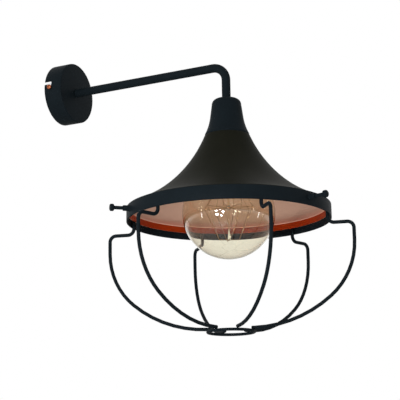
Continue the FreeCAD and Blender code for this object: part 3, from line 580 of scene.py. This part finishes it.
def plain_metal(name, base, roughness, scale=500.0):
    """Turned, plated or drawn metal: a fine grain, 2 mm apart, varies its gloss."""
    return grained(name, base, (0.86, 1.04), (roughness * 0.8, roughness * 1.3),
                   {"Scale": scale, "Detail": 2.0}, Metallic=1.0)


def moulded(name, code, roughness):
    """Moulded plastic, porcelain or cable sheath: an even colour with a slight mottle."""
    return grained(name, from_hex(code), (0.9, 1.05), (roughness * 0.85, roughness * 1.15),
                   {"Scale": 160.0, "Detail": 2.0})


def brass():
    return plain_metal("turned brass", settings("finish").brass, 0.28)


def coppery():
    return plain_metal("copper-plated brass", from_hex("9c5c3e"), 0.3)


def zinc():
    return plain_metal("bright zinc plate", settings("finish").zinc, 0.34, 260.0)


def nickel():
    return plain_metal("nickel-plated brass", from_hex("c9c5bc"), 0.22)


def fine_wire():
    return plain_metal("drawn molybdenum wire", from_hex("c9a27c"), 0.3)


def thermoset():
    return moulded("moulded phenolic", "1d1b1a", 0.42)


# ---- one operator for each piece or group ------------------------------------------------------
class CupOperator(bpy.types.Operator):
    """Drawn steel wall cup with a bayonet slot at each side"""
    bl_idname = "cage_light.wall_cup"
    bl_label = "Wall cup"

    def execute(self, context):
        s = settings("cup")
        radius = s.diameter / 2
        bore = radius - s.wall
        face = -s.depth
        inner = face + s.wall
        hole = 5.1 * MM
        inner_corner = max(s.edge - s.wall, 0.0002) + 0.0006
        outline = rounded(
            [(hole, inner), (hole, face), (radius, face), (radius, 0), (bore, 0), (bore, inner),
             (hole, inner)],
            [0, 0, s.edge, 0.0003, 0.0003, inner_corner, 0])
        cup = spun("wall_cup", outline, steps=160, axis="Y")
        half = s.slot_width / 2
        for side in (-1, 1):
            for piece in self.slot_tools(side, bore, half, s):
                cut(cup, piece)
        finish_with(cup, "BEVEL", width=0.0002, segments=1, limit_method="ANGLE",
                    angle_limit=math.radians(60))
        smooth(cup)
        coat(cup, "lamp", "canopy")
        return {"FINISHED"}

    def slot_tools(self, side, bore, half, s):
        """The slot's mouth and its turn, as one closed cutter each."""
        out = []
        lock = Matrix.Rotation(-s.slot_turn, 4, "Y")
        reach = 0.004
        mouth = place_primitive("slot_mouth", bpy.ops.mesh.primitive_cube_add, size=1,
                                location=(side * (bore + s.wall / 2), -s.slot_seat / 2 + 0.001, 0),
                                scale=(2 * reach, s.slot_seat + 0.002, 2 * half))
        out.append(move_mesh(mouth, lock.inverted()))
        steps = 5
        for k in range(steps + 1):
            hole = place_primitive("slot_seat", bpy.ops.mesh.primitive_cylinder_add, vertices=32,
                                   radius=half, depth=2 * reach, rotation=(0, math.pi / 2, 0),
                                   location=(side * (bore + s.wall / 2), -s.slot_seat, 0))
            turn = Matrix.Rotation(s.slot_turn * k / steps, 4, "Y")
            out.append(move_mesh(hole, turn))
        return out


class SideScrewOperator(bpy.types.Operator):
    """Two copper-plated screws that hold the cup on its bracket"""
    bl_idname = "cage_light.side_screws"
    bl_label = "Side screws"

    def execute(self, context):
        s = settings("cup")
        radius = s.diameter / 2
        head = s.head_diameter / 2
        start = radius + s.head_gap
        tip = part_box("wall_bracket")[1].x - 0.0031
        end = start + s.head_height
        shank = 0.002
        outline = [(0, tip), (shank - 0.0003, tip), (shank, tip + 0.0003)]
        level = tip + 0.0003
        while level < radius - 0.0018:
            outline += [(shank - 0.0003, level + 0.00035), (shank, level + 0.0007)]
            level += 0.0007
        dish = 0.62 * head
        outline += rounded([(shank, level), (shank, start), (head, start), (head, end), (dish, end),
                            (dish, end - 0.0013), (0, end - 0.0013)],
                           [0, 0, 0.0002, 0.0007, 0.0002, 0.0003, 0])[1:]
        screw = spun("side_screw", outline, steps=48, base=Vector((0, 0, 0)))
        slot = place_primitive("driver_slot", bpy.ops.mesh.primitive_cube_add, size=1,
                               location=(0, 0, end), scale=(2.4 * head, 0.001, 0.0024))
        cut(screw, slot)
        smooth(screw)
        seat = Vector((0, -s.slot_seat, 0))
        twin = copy_of(screw, "side_screw_right")
        for piece, side in ((screw, -1), (twin, 1)):
            lay = Matrix.Rotation(side * math.pi / 2, 4, "Y")
            tilt = Matrix.Rotation(math.radians(25), 4, "X")
            move_mesh(piece, Matrix.Translation(seat) @ tilt @ lay)
        both = join_into(screw, twin)
        both.name = both.data.name = "side_screws"
        fit_out(both, "wall", "brass", [coppery()], "canopy_screws")
        return {"FINISHED"}


class ArmOperator(bpy.types.Operator):
    """Steel tube with one tight bend over the lamp axis"""
    bl_idname = "cage_light.arm"
    bl_label = "Bent arm"

    def execute(self, context):
        s = settings("arm")
        start = Vector((0, -settings("cup").depth, 0))
        drop = -top("neck_cap")
        moves = [("run", s.reach - settings("cup").depth - s.bend),
                 ("bend", 90, s.bend, -UP), ("run", drop - s.bend)]
        arm = bar("bent_arm", s.diameter / 2, start, Vector((0, -1, 0)), moves, sides=40)
        weld()
        leave()
        finish_with(arm, "SOLIDIFY", thickness=s.wall, offset=-1.0)
        smooth(arm)
        coat(arm, "lamp", "arm_tube")
        return {"FINISHED"}


def bulged(start, end, lean, steps):
    """Points of an arc that leaves start at a slope off the vertical and ends at end."""
    across = end[0] - start[0]
    down = start[1] - end[1]
    chord = math.atan2(across, down)
    reach = math.hypot(across, down)
    turn = 2 * (chord - lean)
    radius = reach / 2 / math.sin(turn / 2)
    centre = (start[0] + radius * math.cos(lean), start[1] + radius * math.sin(lean))
    out = []
    for k in range(steps + 1):
        a = lean + turn * k / steps
        out.append((centre[0] - radius * math.cos(a), centre[1] - radius * math.sin(a)))
    return out


class NeckCapOperator(bpy.types.Operator):
    """Spun steel cap over the lampholder"""
    bl_idname = "cage_light.neck_cap"
    bl_label = "Neck cap"

    def execute(self, context):
        s = settings("cap")
        crown = top("neck_cap")
        lean = math.atan2(s.waist_radius - s.top_radius, s.waist_drop - s.corner)
        corner = arc((s.top_radius - s.corner, crown - s.corner), s.corner, 90, 0, 14)
        waist = (s.waist_radius, crown - s.waist_drop)
        flare = bulged(waist, (s.foot_radius, SHADE_TOP + s.rim_height), lean, 20)
        outline = [(5.2 * MM, crown)] + corner + flare + [(s.foot_radius, SHADE_TOP)]
        cap = spun("neck_cap_shell", outline, steps=128)
        finish_with(cap, "SOLIDIFY", thickness=s.wall, offset=-1.0)
        finish_with(cap, "BEVEL", width=s.edge * 0.8, segments=3, limit_method="ANGLE",
                    angle_limit=math.radians(50))
        smooth(cap)
        coat(cap, "lamp", "neck_cap")
        return {"FINISHED"}


class ShadeOperator(bpy.types.Operator):
    """Spun shade, black outside and copper-lacquered inside"""
    bl_idname = "cage_light.shade"
    bl_label = "Shade"

    def execute(self, context):
        s = settings("shade")
        rim_start = SHADE_TOP - s.flare_height
        flare = bulged((s.top_radius, SHADE_TOP), (s.rim_radius, rim_start), s.start_angle, 64)
        keep = s.rim_radius - 2.2 * s.rim_corner
        flare = [p for p in flare if p[0] < keep]
        corner = rounded([flare[-1], (s.rim_radius, rim_start), (s.rim_radius, rim_start - s.rim_height)],
                         [0, s.rim_corner, 0], steps=8)
        shoulder = rounded([(s.hole_radius, SHADE_TOP), flare[0], flare[1]], [0, s.shoulder, 0])
        outline = shoulder + flare[2:] + corner[1:]
        shade = spun("flared_shade", outline, steps=192)
        for finish in (shade_enamel(), copper_lacquer()):
            shade.data.materials.append(finish)
        finish_with(shade, "SOLIDIFY", thickness=s.wall, offset=-1.0, material_offset=1,
                    material_offset_rim=1)
        # The third finish is painted shade: a darker, deeper orange for the rim's upright inside.
        shade.data.materials.append(rim_shade_lacquer())
        self.paint_rim_shade(shade, rim_start - 0.6 * s.rim_corner)
        smooth(shade)
        fit_out(shade, "lamp", "shade_enamel", [shade_enamel(), copper_lacquer(), rim_shade_lacquer()], "shade")
        return {"FINISHED"}

    def paint_rim_shade(self, shade, level):
        """The upright inside of the rim, picked by its place and normal, takes the darker orange of painted
        shade.
        """
        def upright_inside(face):
            out = face.calc_center_median() - AXIS
            inward = -face.normal.dot(Vector((out.x, out.y, 0)).normalized())
            return out.z < level and inward > 0.9

        pick(shade, "faces", upright_inside)
        shade.active_material_index = 2
        bpy.ops.object.material_slot_assign()
        leave()


class LampholderOperator(bpy.types.Operator):
    """Moulded lampholder with its threaded skirt and clamp ring"""
    bl_idname = "cage_light.lampholder"
    bl_label = "Lampholder"

    def execute(self, context):
        flange = SHADE_TOP + 3 * MM
        skirt_foot = foot("holder_body")
        joint = top("holder_body")
        core_foot = foot("holder_core")
        outline = [(17.0 * MM, joint), (18.6 * MM, joint)]
        outline += rounded([(18.6 * MM, joint), (18.6 * MM, flange), (24 * MM, flange), (24 * MM, SHADE_TOP),
                            (19.5 * MM, SHADE_TOP)], [0, 1.5 * MM, 1 * MM, 0, 0])[1:]
        level = SHADE_TOP - 1.2 * MM
        while level - 1.5 * MM > skirt_foot + 1 * MM:
            outline += [(19.0 * MM, level - 0.35 * MM), (19.0 * MM, level - 0.6 * MM),
                        (19.5 * MM, level - 1.0 * MM), (19.5 * MM, level - 1.4 * MM)]
            level -= 1.4 * MM
        outline += rounded([(19.2 * MM, level - 0.1 * MM), (19.2 * MM, skirt_foot), (15.4 * MM, skirt_foot),
                            (15.4 * MM, core_foot), (16.3 * MM, core_foot), (16.3 * MM, joint - 2 * MM),
                            (17.0 * MM, joint)], [0, 0.8 * MM, 0.5 * MM, 0, 0, 0, 0])
        body = spun("lampholder_body", outline, steps=96)
        smooth(body)
        fit_out(body, "lamp", "black_thermoset", [thermoset()], "holder_body")
        self.clamp_ring()
        return {"FINISHED"}

    def clamp_ring(self):
        """The ring is turned by hand, so its collar has grip ribs all round."""
        crown = top("shade_ring")
        low = foot("shade_ring")
        bore, flange, collar = 19.7 * MM, 26.6 * MM, 22.6 * MM
        outline = rounded([(bore, crown), (flange, crown), (flange, crown - 2 * MM),
                           (collar, crown - 2.6 * MM), (collar, low), (bore, low), (bore, crown)],
                          [0, 0.5 * MM, 0.6 * MM, 0.4 * MM, 0.6 * MM, 0.3 * MM, 0])
        ribs = 36
        ring = spun("clamp_ring", outline, steps=4 * ribs)
        relief = 0.25 * MM
        for line, swell in ((0, relief), (2, -relief)):
            def on_line(vertex):
                out = vertex.co - AXIS
                turn = round(math.atan2(out.y, out.x) / math.tau * 4 * ribs)
                on_collar = math.hypot(out.x, out.y) > 21.9 * MM and vertex.co.z < crown - 2.4 * MM
                return on_collar and turn % 4 == line

            pick(ring, "verts", on_line)
            grow = 1 + swell / collar
            bpy.ops.transform.resize(value=(grow, grow, 1), center_override=AXIS)
            leave()
        smooth(ring)
        fit_out(ring, "lamp", "black_thermoset", [thermoset()], "shade_ring")


class BandOperator(bpy.types.Operator):
    """Steel band that the cage hangs from, with its three welded bushes"""
    bl_idname = "cage_light.band"
    bl_label = "Rim band"

    def execute(self, context):
        s = settings("cage")
        t = settings("thumbscrew")
        inner = s.band_radius - s.band_wall
        low = BAND_TOP - s.band_height
        outline = rounded([(inner, (BAND_TOP + low) / 2), (inner, BAND_TOP), (s.band_radius, BAND_TOP),
                           (s.band_radius, low), (inner, low), (inner, (BAND_TOP + low) / 2)],
                          [0, 0.0003, 0.0005, 0.0005, 0.0003, 0], steps=3)
        band = spun("rim_band", outline, steps=192)
        hole = t.shank_diameter / 2 + 0.00006
        for turn in screw_turns():
            tool = place_primitive("screw_hole", bpy.ops.mesh.primitive_cylinder_add, vertices=32,
                                   radius=hole, depth=0.02, rotation=(0, math.pi / 2, 0),
                                   location=(s.band_radius, AXIS.y, SCREW_LEVEL))
            move_mesh(tool, turned_about(AXIS, turn))
            cut(band, tool)
        smooth(band)
        coat(band, "cage", "cage_band")
        self.bushes(s, t, hole)
        return {"FINISHED"}

    def bushes(self, s, t, hole):
        """A turned bush with a bead of weld where it meets the band."""
        out = t.boss_diameter / 2
        base = s.band_radius - 0.0003
        end = s.band_radius + t.boss_length
        bead = [(out + 0.0009, base), (out + 0.0008, base + 0.0006), (out + 0.0003, base + 0.0011),
                (out, base + 0.0015)]
        outline = [(hole, base)] + bead + rounded([(out, base + 0.0015), (out, end), (hole, end)],
                                                  [0, 0.0005, 0])[1:] + [(hole, base)]
        first = spun("screw_bush_1", outline, steps=40, base=Vector((0, 0, 0)))
        smooth(first)
        lay = Matrix.Translation((0, AXIS.y, SCREW_LEVEL)) @ Matrix.Rotation(math.pi / 2, 4, "Y")
        bushes = [first, copy_of(first, "screw_bush_2"), copy_of(first, "screw_bush_3")]
        for k, (piece, turn) in enumerate(zip(bushes, screw_turns()), 1):
            move_mesh(piece, turned_about(AXIS, turn) @ lay)
            coat(piece, "cage", "screw_boss_%d" % k)


def screw_turns():
    count = settings("thumbscrew").screws
    first = math.degrees(math.atan2(FIRST_BUSH.y - AXIS.y, FIRST_BUSH.x - AXIS.x))
    return [first + 360 / count * k for k in range(count)]


class ThumbscrewOperator(bpy.types.Operator):
    """Thumbscrews with straight-knurled heads"""
    bl_idname = "cage_light.thumbscrews"
    bl_label = "Thumbscrews"

    def execute(self, context):
        s = settings("thumbscrew")
        shank = s.shank_diameter / 2
        head = s.head_diameter / 2
        tip = settings("shade").rim_radius + s.tip_gap
        start = settings("cage").band_radius + s.boss_length + s.exposed
        end = start + s.head_length
        outline = [(0, tip), (shank - 0.0006, tip), (shank - 0.0003, tip + 0.0004)]
        level = tip + 0.0004
        while level + s.pitch < start - s.exposed:
            outline += [(shank, level + s.pitch / 2), (shank - 0.0003, level + s.pitch)]
            level += s.pitch
        outline += rounded([(shank - 0.0003, level), (shank, level + 0.0003), (shank, start),
                            (head - 0.0009, start), (head, start + 0.0009), (head, end - 0.0009),
                            (head - 0.0009, end), (0, end)],
                           [0, 0, 0, 0.0002, 0.0003, 0.0004, 0.0004, 0], steps=2)[1:]
        knurls = 26
        screw = spun("thumbscrew_a", outline, steps=2 * knurls, base=Vector((0, 0, 0)))
        self.knurl(screw, head, start, end, knurls)
        smooth(screw, 40)
        lay = Matrix.Translation((0, AXIS.y, SCREW_LEVEL)) @ Matrix.Rotation(math.pi / 2, 4, "Y")
        screws = [screw, copy_of(screw, "thumbscrew_b"), copy_of(screw, "thumbscrew_c")]
        for k, (piece, turn, letter) in enumerate(zip(screws, screw_turns(), "abc"), 1):
            move_mesh(piece, turned_about(AXIS, turn) @ lay)
            piece.name = piece.data.name = "knurled_screw_" + letter
            coat(piece, "thumbscrew_" + letter, "thumbscrew_%d" % k)
        return {"FINISHED"}

    def knurl(self, screw, head, start, end, knurls):
        """Every second line of the head's side is drawn in, which leaves straight ridges."""
        margin, skin, drawn_in = 0.0006, 0.0002, 0.93

        def in_groove(vertex):
            radius = math.hypot(vertex.co.x, vertex.co.y)
            line = round(math.atan2(vertex.co.y, vertex.co.x) / (math.pi / knurls))
            on_side = start + margin < vertex.co.z < end - margin and radius > head - skin
            return on_side and line % 2 == 1

        pick(screw, "verts", in_groove)
        bpy.ops.transform.resize(value=(drawn_in, drawn_in, 1), center_override=(0, 0, 0))
        leave()


def wire_moves():
    """The runs and bends of one cage wire, from its top inside the band to its cut end."""
    s = settings("cage")
    out = Vector((1, 0, 0))
    inside = s.band_radius - s.band_wall - s.wire_diameter / 2 - 0.0001
    crown = RIM_END - 0.0007
    step = BAND_TOP - s.band_height - s.step_drop
    across = s.widest - inside
    width = s.widest - s.foot_radius
    rise = s.belly_height
    side = s.belly_side
    sweep_foot = ((width - side) ** 2 + rise ** 2 - side ** 2) / (2 * (rise - side))
    side_centre = (s.widest - side, step - s.straight)
    foot_centre = (s.foot_radius, step - s.straight - rise + sweep_foot)
    turn = math.degrees(math.atan2(foot_centre[1] - side_centre[1], side_centre[0] - foot_centre[0]))
    moves = [
        ("run", crown - step - s.step_bend), ("bend", 90, s.step_bend, out),
        ("run", across - 2 * s.step_bend), ("bend", 90, s.step_bend, -UP),
        ("run", s.straight - s.step_bend), ("bend", turn, side, -out),
    ]
    inward = Vector(side_centre) - Vector((side_centre[0] + side * math.cos(math.radians(turn)),
                                           side_centre[1] - side * math.sin(math.radians(turn))))
    toward = Vector((inward.x, 0, inward.y)).normalized()
    moves += [("bend", 90 - turn, sweep_foot, toward), ("run", s.foot_radius - s.end_radius)]
    return Vector((inside, AXIS.y, crown)), moves


class CageOperator(bpy.types.Operator):
    """Bent steel wires of the cage and the ring under their ends"""
    bl_idname = "cage_light.cage"
    bl_label = "Cage wires and ring"

    def execute(self, context):
        s = settings("cage")
        start, moves = wire_moves()
        first = bar("cage_bar_1", s.wire_diameter / 2, start, -UP, moves, sides=20)
        close_bar(first, chamfer=0.0005)
        bars = [first] + [copy_of(first, "cage_bar_%d" % (k + 1)) for k in range(1, s.wires)]
        for k, piece in enumerate(bars):
            move_mesh(piece, turned_about(AXIS, FIRST_WIRE + 360 / s.wires * k))
            coat(piece, "cage", "cage_wire_%d" % (k + 1))
        level = middle("cage_ring").z
        ring = place_primitive("bottom_ring", bpy.ops.mesh.primitive_torus_add, major_radius=s.ring_radius,
                               minor_radius=s.ring_diameter / 2, major_segments=96, minor_segments=20,
                               location=(AXIS.x, AXIS.y, level))
        smooth(ring)
        coat(ring, "cage", "cage_ring")
        return {"FINISHED"}


class BulbGlassOperator(bpy.types.Operator):
    """Clear blown globe with its neck"""
    bl_idname = "cage_light.bulb_glass"
    bl_label = "Bulb glass"

    def execute(self, context):
        s = settings("bulb")
        centre = GLOBE_FOOT + s.globe_radius
        crown = top("bulb_glass")
        cap_foot = foot("bulb_cap")
        drop = cap_foot - 1.5 * MM - centre
        fillet = drop ** 2 - s.globe_radius ** 2 + s.neck_radius ** 2
        fillet /= 2 * (s.globe_radius - s.neck_radius)
        reach = s.globe_radius + fillet
        lean = math.degrees(math.asin((s.neck_radius + fillet) / reach))
        sleeve = s.cap_radius - 0.0011
        flare = arc((s.neck_radius + fillet, centre + drop), fillet, 180, 270 - lean, 16)
        globe = arc((0, centre), s.globe_radius, 90 - lean, -90, 56)
        outline = [(sleeve, crown), (sleeve, cap_foot)] + flare + globe[1:]
        glass = spun("globe_glass", outline, steps=128)
        finish_with(glass, "SOLIDIFY", thickness=s.glass_wall, offset=-1.0)
        smooth(glass, 60)
        fit_out(glass, "bulb", "clear_glass", [clear_glass()], "bulb_glass")
        return {"FINISHED"}


class BulbCapOperator(bpy.types.Operator):
    """Rolled screw cap with a true helical thread"""
    bl_idname = "cage_light.bulb_cap"
    bl_label = "Bulb cap"

    def execute(self, context):
        s = settings("bulb")
        crown = top("bulb_cap")
        low = foot("bulb_cap")
        root = s.cap_radius - 0.0007
        wave = [(root + 0.00035 * (1 - math.cos(2 * math.pi * k / 10)), low - s.cap_pitch * (1 - k / 10))
                for k in range(11)]
        points = [(AXIS.x + r, AXIS.y, z) for r, z in wave]
        cap = draw_outline("screw_cap", points)
        leave()
        cap_origin = Matrix.Translation(-AXIS)
        move_mesh(cap, cap_origin)
        turns = math.ceil((crown - low) / s.cap_pitch) + 1
        finish_with(cap, "SCREW", angle=2 * math.pi, screw_offset=s.cap_pitch, iterations=turns, steps=48,
                    render_steps=48, use_merge_vertices=True, merge_threshold=1e-5)
        move_mesh(cap, cap_origin.inverted())
        for level, upper in ((crown - 0.0008, True), (low + 0.0008, False)):
            edit(cap)
            bpy.ops.mesh.bisect(plane_co=(0, AXIS.y, level), plane_no=(0, 0, 1), clear_outer=upper,
                                clear_inner=not upper, use_fill=False)
            leave()
        self.draw_ends(cap, crown, low, root)
        fit_out(cap, "bulb", "nickel", [nickel()], "bulb_cap")
        return {"FINISHED"}

    def draw_ends(self, cap, crown, low, root):
        """Bridges the open edges to round collars, then gives the sheet its thickness."""
        for level, seam in ((crown, crown - 0.0008), (low, low + 0.0008)):
            edit(cap)
            bpy.ops.mesh.select_all(action="DESELECT")
            bpy.ops.mesh.primitive_circle_add(vertices=48, radius=root, location=(AXIS.x, AXIS.y, level))
            mesh = bmesh.from_edit_mesh(cap.data)
            for edge in mesh.edges:
                if edge.is_boundary and all(abs(v.co.z - seam) < 1e-5 for v in edge.verts):
                    edge.select = True
            bmesh.update_edit_mesh(cap.data)
            bpy.ops.mesh.bridge_edge_loops()
            leave()
        edit(cap)
        bpy.ops.mesh.normals_make_consistent(inside=False)
        leave()
        finish_with(cap, "SOLIDIFY", thickness=0.0004, offset=-1.0)
        smooth(cap, 50)


class BulbMountOperator(bpy.types.Operator):
    """Glass stem, its wires and the long filament"""
    bl_idname = "cage_light.bulb_mount"
    bl_label = "Bulb mount"

    def execute(self, context):
        dress_node("bulb_stem", clear_glass())
        dress_node("bulb_supports", fine_wire())
        dress_node("bulb_filament", fine_wire())
        dress_node("bulb_insulator", moulded("black insulating glass", "141214", 0.2))
        dress_node("bulb_contact", plain_metal("tinned solder", from_hex("a3a39f"), 0.35))
        return {"FINISHED"}


class HiddenFittingsOperator(bpy.types.Operator):
    """Finishes for the bracket, nipples, terminals and leads of the model"""
    bl_idname = "cage_light.fittings"
    bl_label = "Fittings"

    def execute(self, context):
        for name in ("wall_bracket", "wall_nipple", "arm_locknut", "arm_washer", "terminal_plate",
                     "terminal_screws", "fixing_screw", "lamp_nipple", "neck_locknut", "holder_screws"):
            dress_node(name, zinc())
        for name in ("terminal_inserts", "earth_screw", "centre_contact", "screw_shell", "holder_terminals"):
            dress_node(name, brass())
        for name in ("terminal_block", "nipple_bush"):
            dress_node(name, moulded("white polyamide", "e6e3da", 0.45))
        dress_node("holder_cap", thermoset())
        dress_node("holder_core", moulded("glazed porcelain", "ece7dc", 0.18))
        dress_node("live_lead", moulded("brown lead insulation", "5a3420", 0.4))
        dress_node("neutral_lead", moulded("blue lead insulation", "1f56a5", 0.4))
        dress_node("earth_lead", moulded("green-yellow lead insulation", "5f9a30", 0.4))
        return {"FINISHED"}


class StageOperator(bpy.types.Operator):
    """Camera, pale floor, white surround and soft lights"""
    bl_idname = "cage_light.stage"
    bl_label = "Stage"

    def execute(self, context):
        s = settings("stage")
        self.camera(s)
        self.floor(s)
        self.surround()
        self.lights()
        view = context.scene.view_settings
        view.view_transform = "Standard"
        return {"FINISHED"}

    def camera(self, s):
        turn, lift, roll = s.camera_heading, s.camera_lift, s.camera_roll
        forward = Vector((-math.sin(turn) * math.cos(lift), math.cos(turn) * math.cos(lift), math.sin(lift)))
        right = Vector((math.cos(turn), math.sin(turn), 0))
        up = right.cross(forward)
        right_rolled = right * math.cos(roll) + up * math.sin(roll)
        up_rolled = up * math.cos(roll) - right * math.sin(roll)
        data = bpy.data.cameras.new("camera")
        data.lens = s.lens
        data.sensor_width = 36.0
        camera = bpy.data.objects.new("camera", data)
        bpy.context.scene.collection.objects.link(camera)
        turned = Matrix((right_rolled, up_rolled, -forward)).transposed().to_4x4()
        camera.matrix_world = Matrix.Translation(s.camera_place) @ turned
        bpy.context.scene.camera = camera

    def floor(self, s):
        floor = place_primitive("floor", bpy.ops.mesh.primitive_circle_add, vertices=96, radius=7.0,
                                fill_type="NGON", location=(0, 0, -s.floor_level))
        finish, tree = new_finish("pale floor")
        place = add_node(tree, "ShaderNodeTexCoord")
        mottle = add_node(tree, "ShaderNodeTexNoise", {"Scale": 3.0}, [("Vector", place, "Object")])
        tone = add_node(tree, "ShaderNodeMapRange", {"To Min": 0.80, "To Max": 0.84},
                        [("Value", mottle, "Fac")])
        shader = add_node(tree, "ShaderNodeBsdfPrincipled", {"Roughness": 0.8},
                          [("Base Color", tone, "Result")])
        surface(tree, shader)
        floor.data.materials.append(finish)

    def surround(self):
        """A soft dome lights the lamp; the eye, metal and glass see plain white."""
        world = bpy.data.worlds.new("surround")
        bpy.context.scene.world = world
        world.use_nodes = True
        tree = world.node_tree
        tree.nodes.clear()
        path = add_node(tree, "ShaderNodeLightPath")
        seen = add_node(tree, "ShaderNodeMath", {"operation": "MAXIMUM"},
                        [(0, path, "Is Camera Ray"), (1, path, "Is Glossy Ray")])
        seen = add_node(tree, "ShaderNodeMath", {"operation": "MAXIMUM"},
                        [(0, seen, 0), (1, path, "Is Transmission Ray")])
        dome = add_node(tree, "ShaderNodeBackground", {"Color": (1.0, 1.0, 0.95, 1), "Strength": 0.4})
        white = add_node(tree, "ShaderNodeBackground", {"Color": (1, 1, 1, 1), "Strength": 1.0})
        mix = add_node(tree, "ShaderNodeMixShader", {}, [(0, seen, 0), (1, dome, 0), (2, white, 0)])
        add_node(tree, "ShaderNodeOutputWorld", {}, [("Surface", mix, 0)])

    def lights(self):
        """A cluster of five small round lamps near the eye, and a tall strip light at each side."""
        s = settings("stage")
        globe = Vector((AXIS.x, AXIS.y, GLOBE_FOOT + settings("bulb").globe_radius))
        to_eye = (Vector(s.camera_place) - globe).normalized()
        turned = Matrix.Rotation(-s.cluster_turn, 3, "Z") @ to_eye
        hub = globe + (turned + UP * math.tan(s.cluster_lift)).normalized() * s.cluster_distance
        aim = (globe - hub).to_track_quat("-Z", "Y").to_matrix()
        count = 5
        for k in range(count):
            turn = 2 * math.pi * k / count
            offset = aim @ Vector((math.cos(turn), math.sin(turn), 0)) * s.cluster_spread
            self.lamp("cluster lamp %d" % (k + 1), hub + offset, globe, 0.17, 0.17, s.key_power / count,
                      (0.94, 0.98, 1.0), "DISK")
        self.lamp("left strip", (-1.15, 0.85, 0.0), globe, 0.08, 1.2, 2.5, (1.0, 1.0, 1.0))
        self.lamp("right strip", (0.38, -1.83, 0.0), globe, 0.08, 1.2, 2.5, (1.0, 1.0, 1.0))

    def lamp(self, name, place, target, width, height, power, tint, shape="RECTANGLE"):
        data = bpy.data.lights.new(name, "AREA")
        data.shape = shape
        data.size, data.size_y = width, height
        data.energy = power
        data.color = tint
        lamp = bpy.data.objects.new(name, data)
        bpy.context.scene.collection.objects.link(lamp)
        lamp.location = place
        lamp.rotation_euler = (Vector(target) - Vector(place)).to_track_quat("-Z", "Y").to_euler()


PIECE_OPERATORS = (
    StageOperator, CupOperator, SideScrewOperator, ArmOperator, NeckCapOperator, ShadeOperator,
    LampholderOperator, BandOperator, ThumbscrewOperator, CageOperator, BulbGlassOperator,
    BulbCapOperator, BulbMountOperator, HiddenFittingsOperator,
)


class CageLightPanel(bpy.types.Panel):
    """Lists the lamp's sizes, finishes and building steps"""
    bl_idname = "VIEW3D_PT_cage_light"
    bl_label = "Cage wall light"
    bl_space_type = "VIEW_3D"
    bl_region_type = "UI"
    bl_category = "Cage light"

    def draw(self, context):
        for operator in PIECE_OPERATORS:
            self.layout.operator(operator.bl_idname)
        for group, kind in SETTINGS.items():
            box = self.layout.box()
            box.label(text=kind.__name__)
            for name in kind.__annotations__:
                box.prop(settings(group), name)


def register():
    for kind in (*SETTINGS.values(), *PIECE_OPERATORS, CageLightPanel):
        bpy.utils.register_class(kind)
    for group, kind in SETTINGS.items():
        setattr(bpy.types.Scene, "cage_light_" + group, bpy.props.PointerProperty(type=kind))


def unregister():
    for group in SETTINGS:
        delattr(bpy.types.Scene, "cage_light_" + group)
    for kind in reversed((*SETTINGS.values(), *PIECE_OPERATORS, CageLightPanel)):
        bpy.utils.unregister_class(kind)


def main():
    register()
    for operator in PIECE_OPERATORS:
        group, name = operator.bl_idname.split(".")
        getattr(getattr(bpy.ops, group), name)()
    clear_selection()


if __name__ == "__main__":
    main()
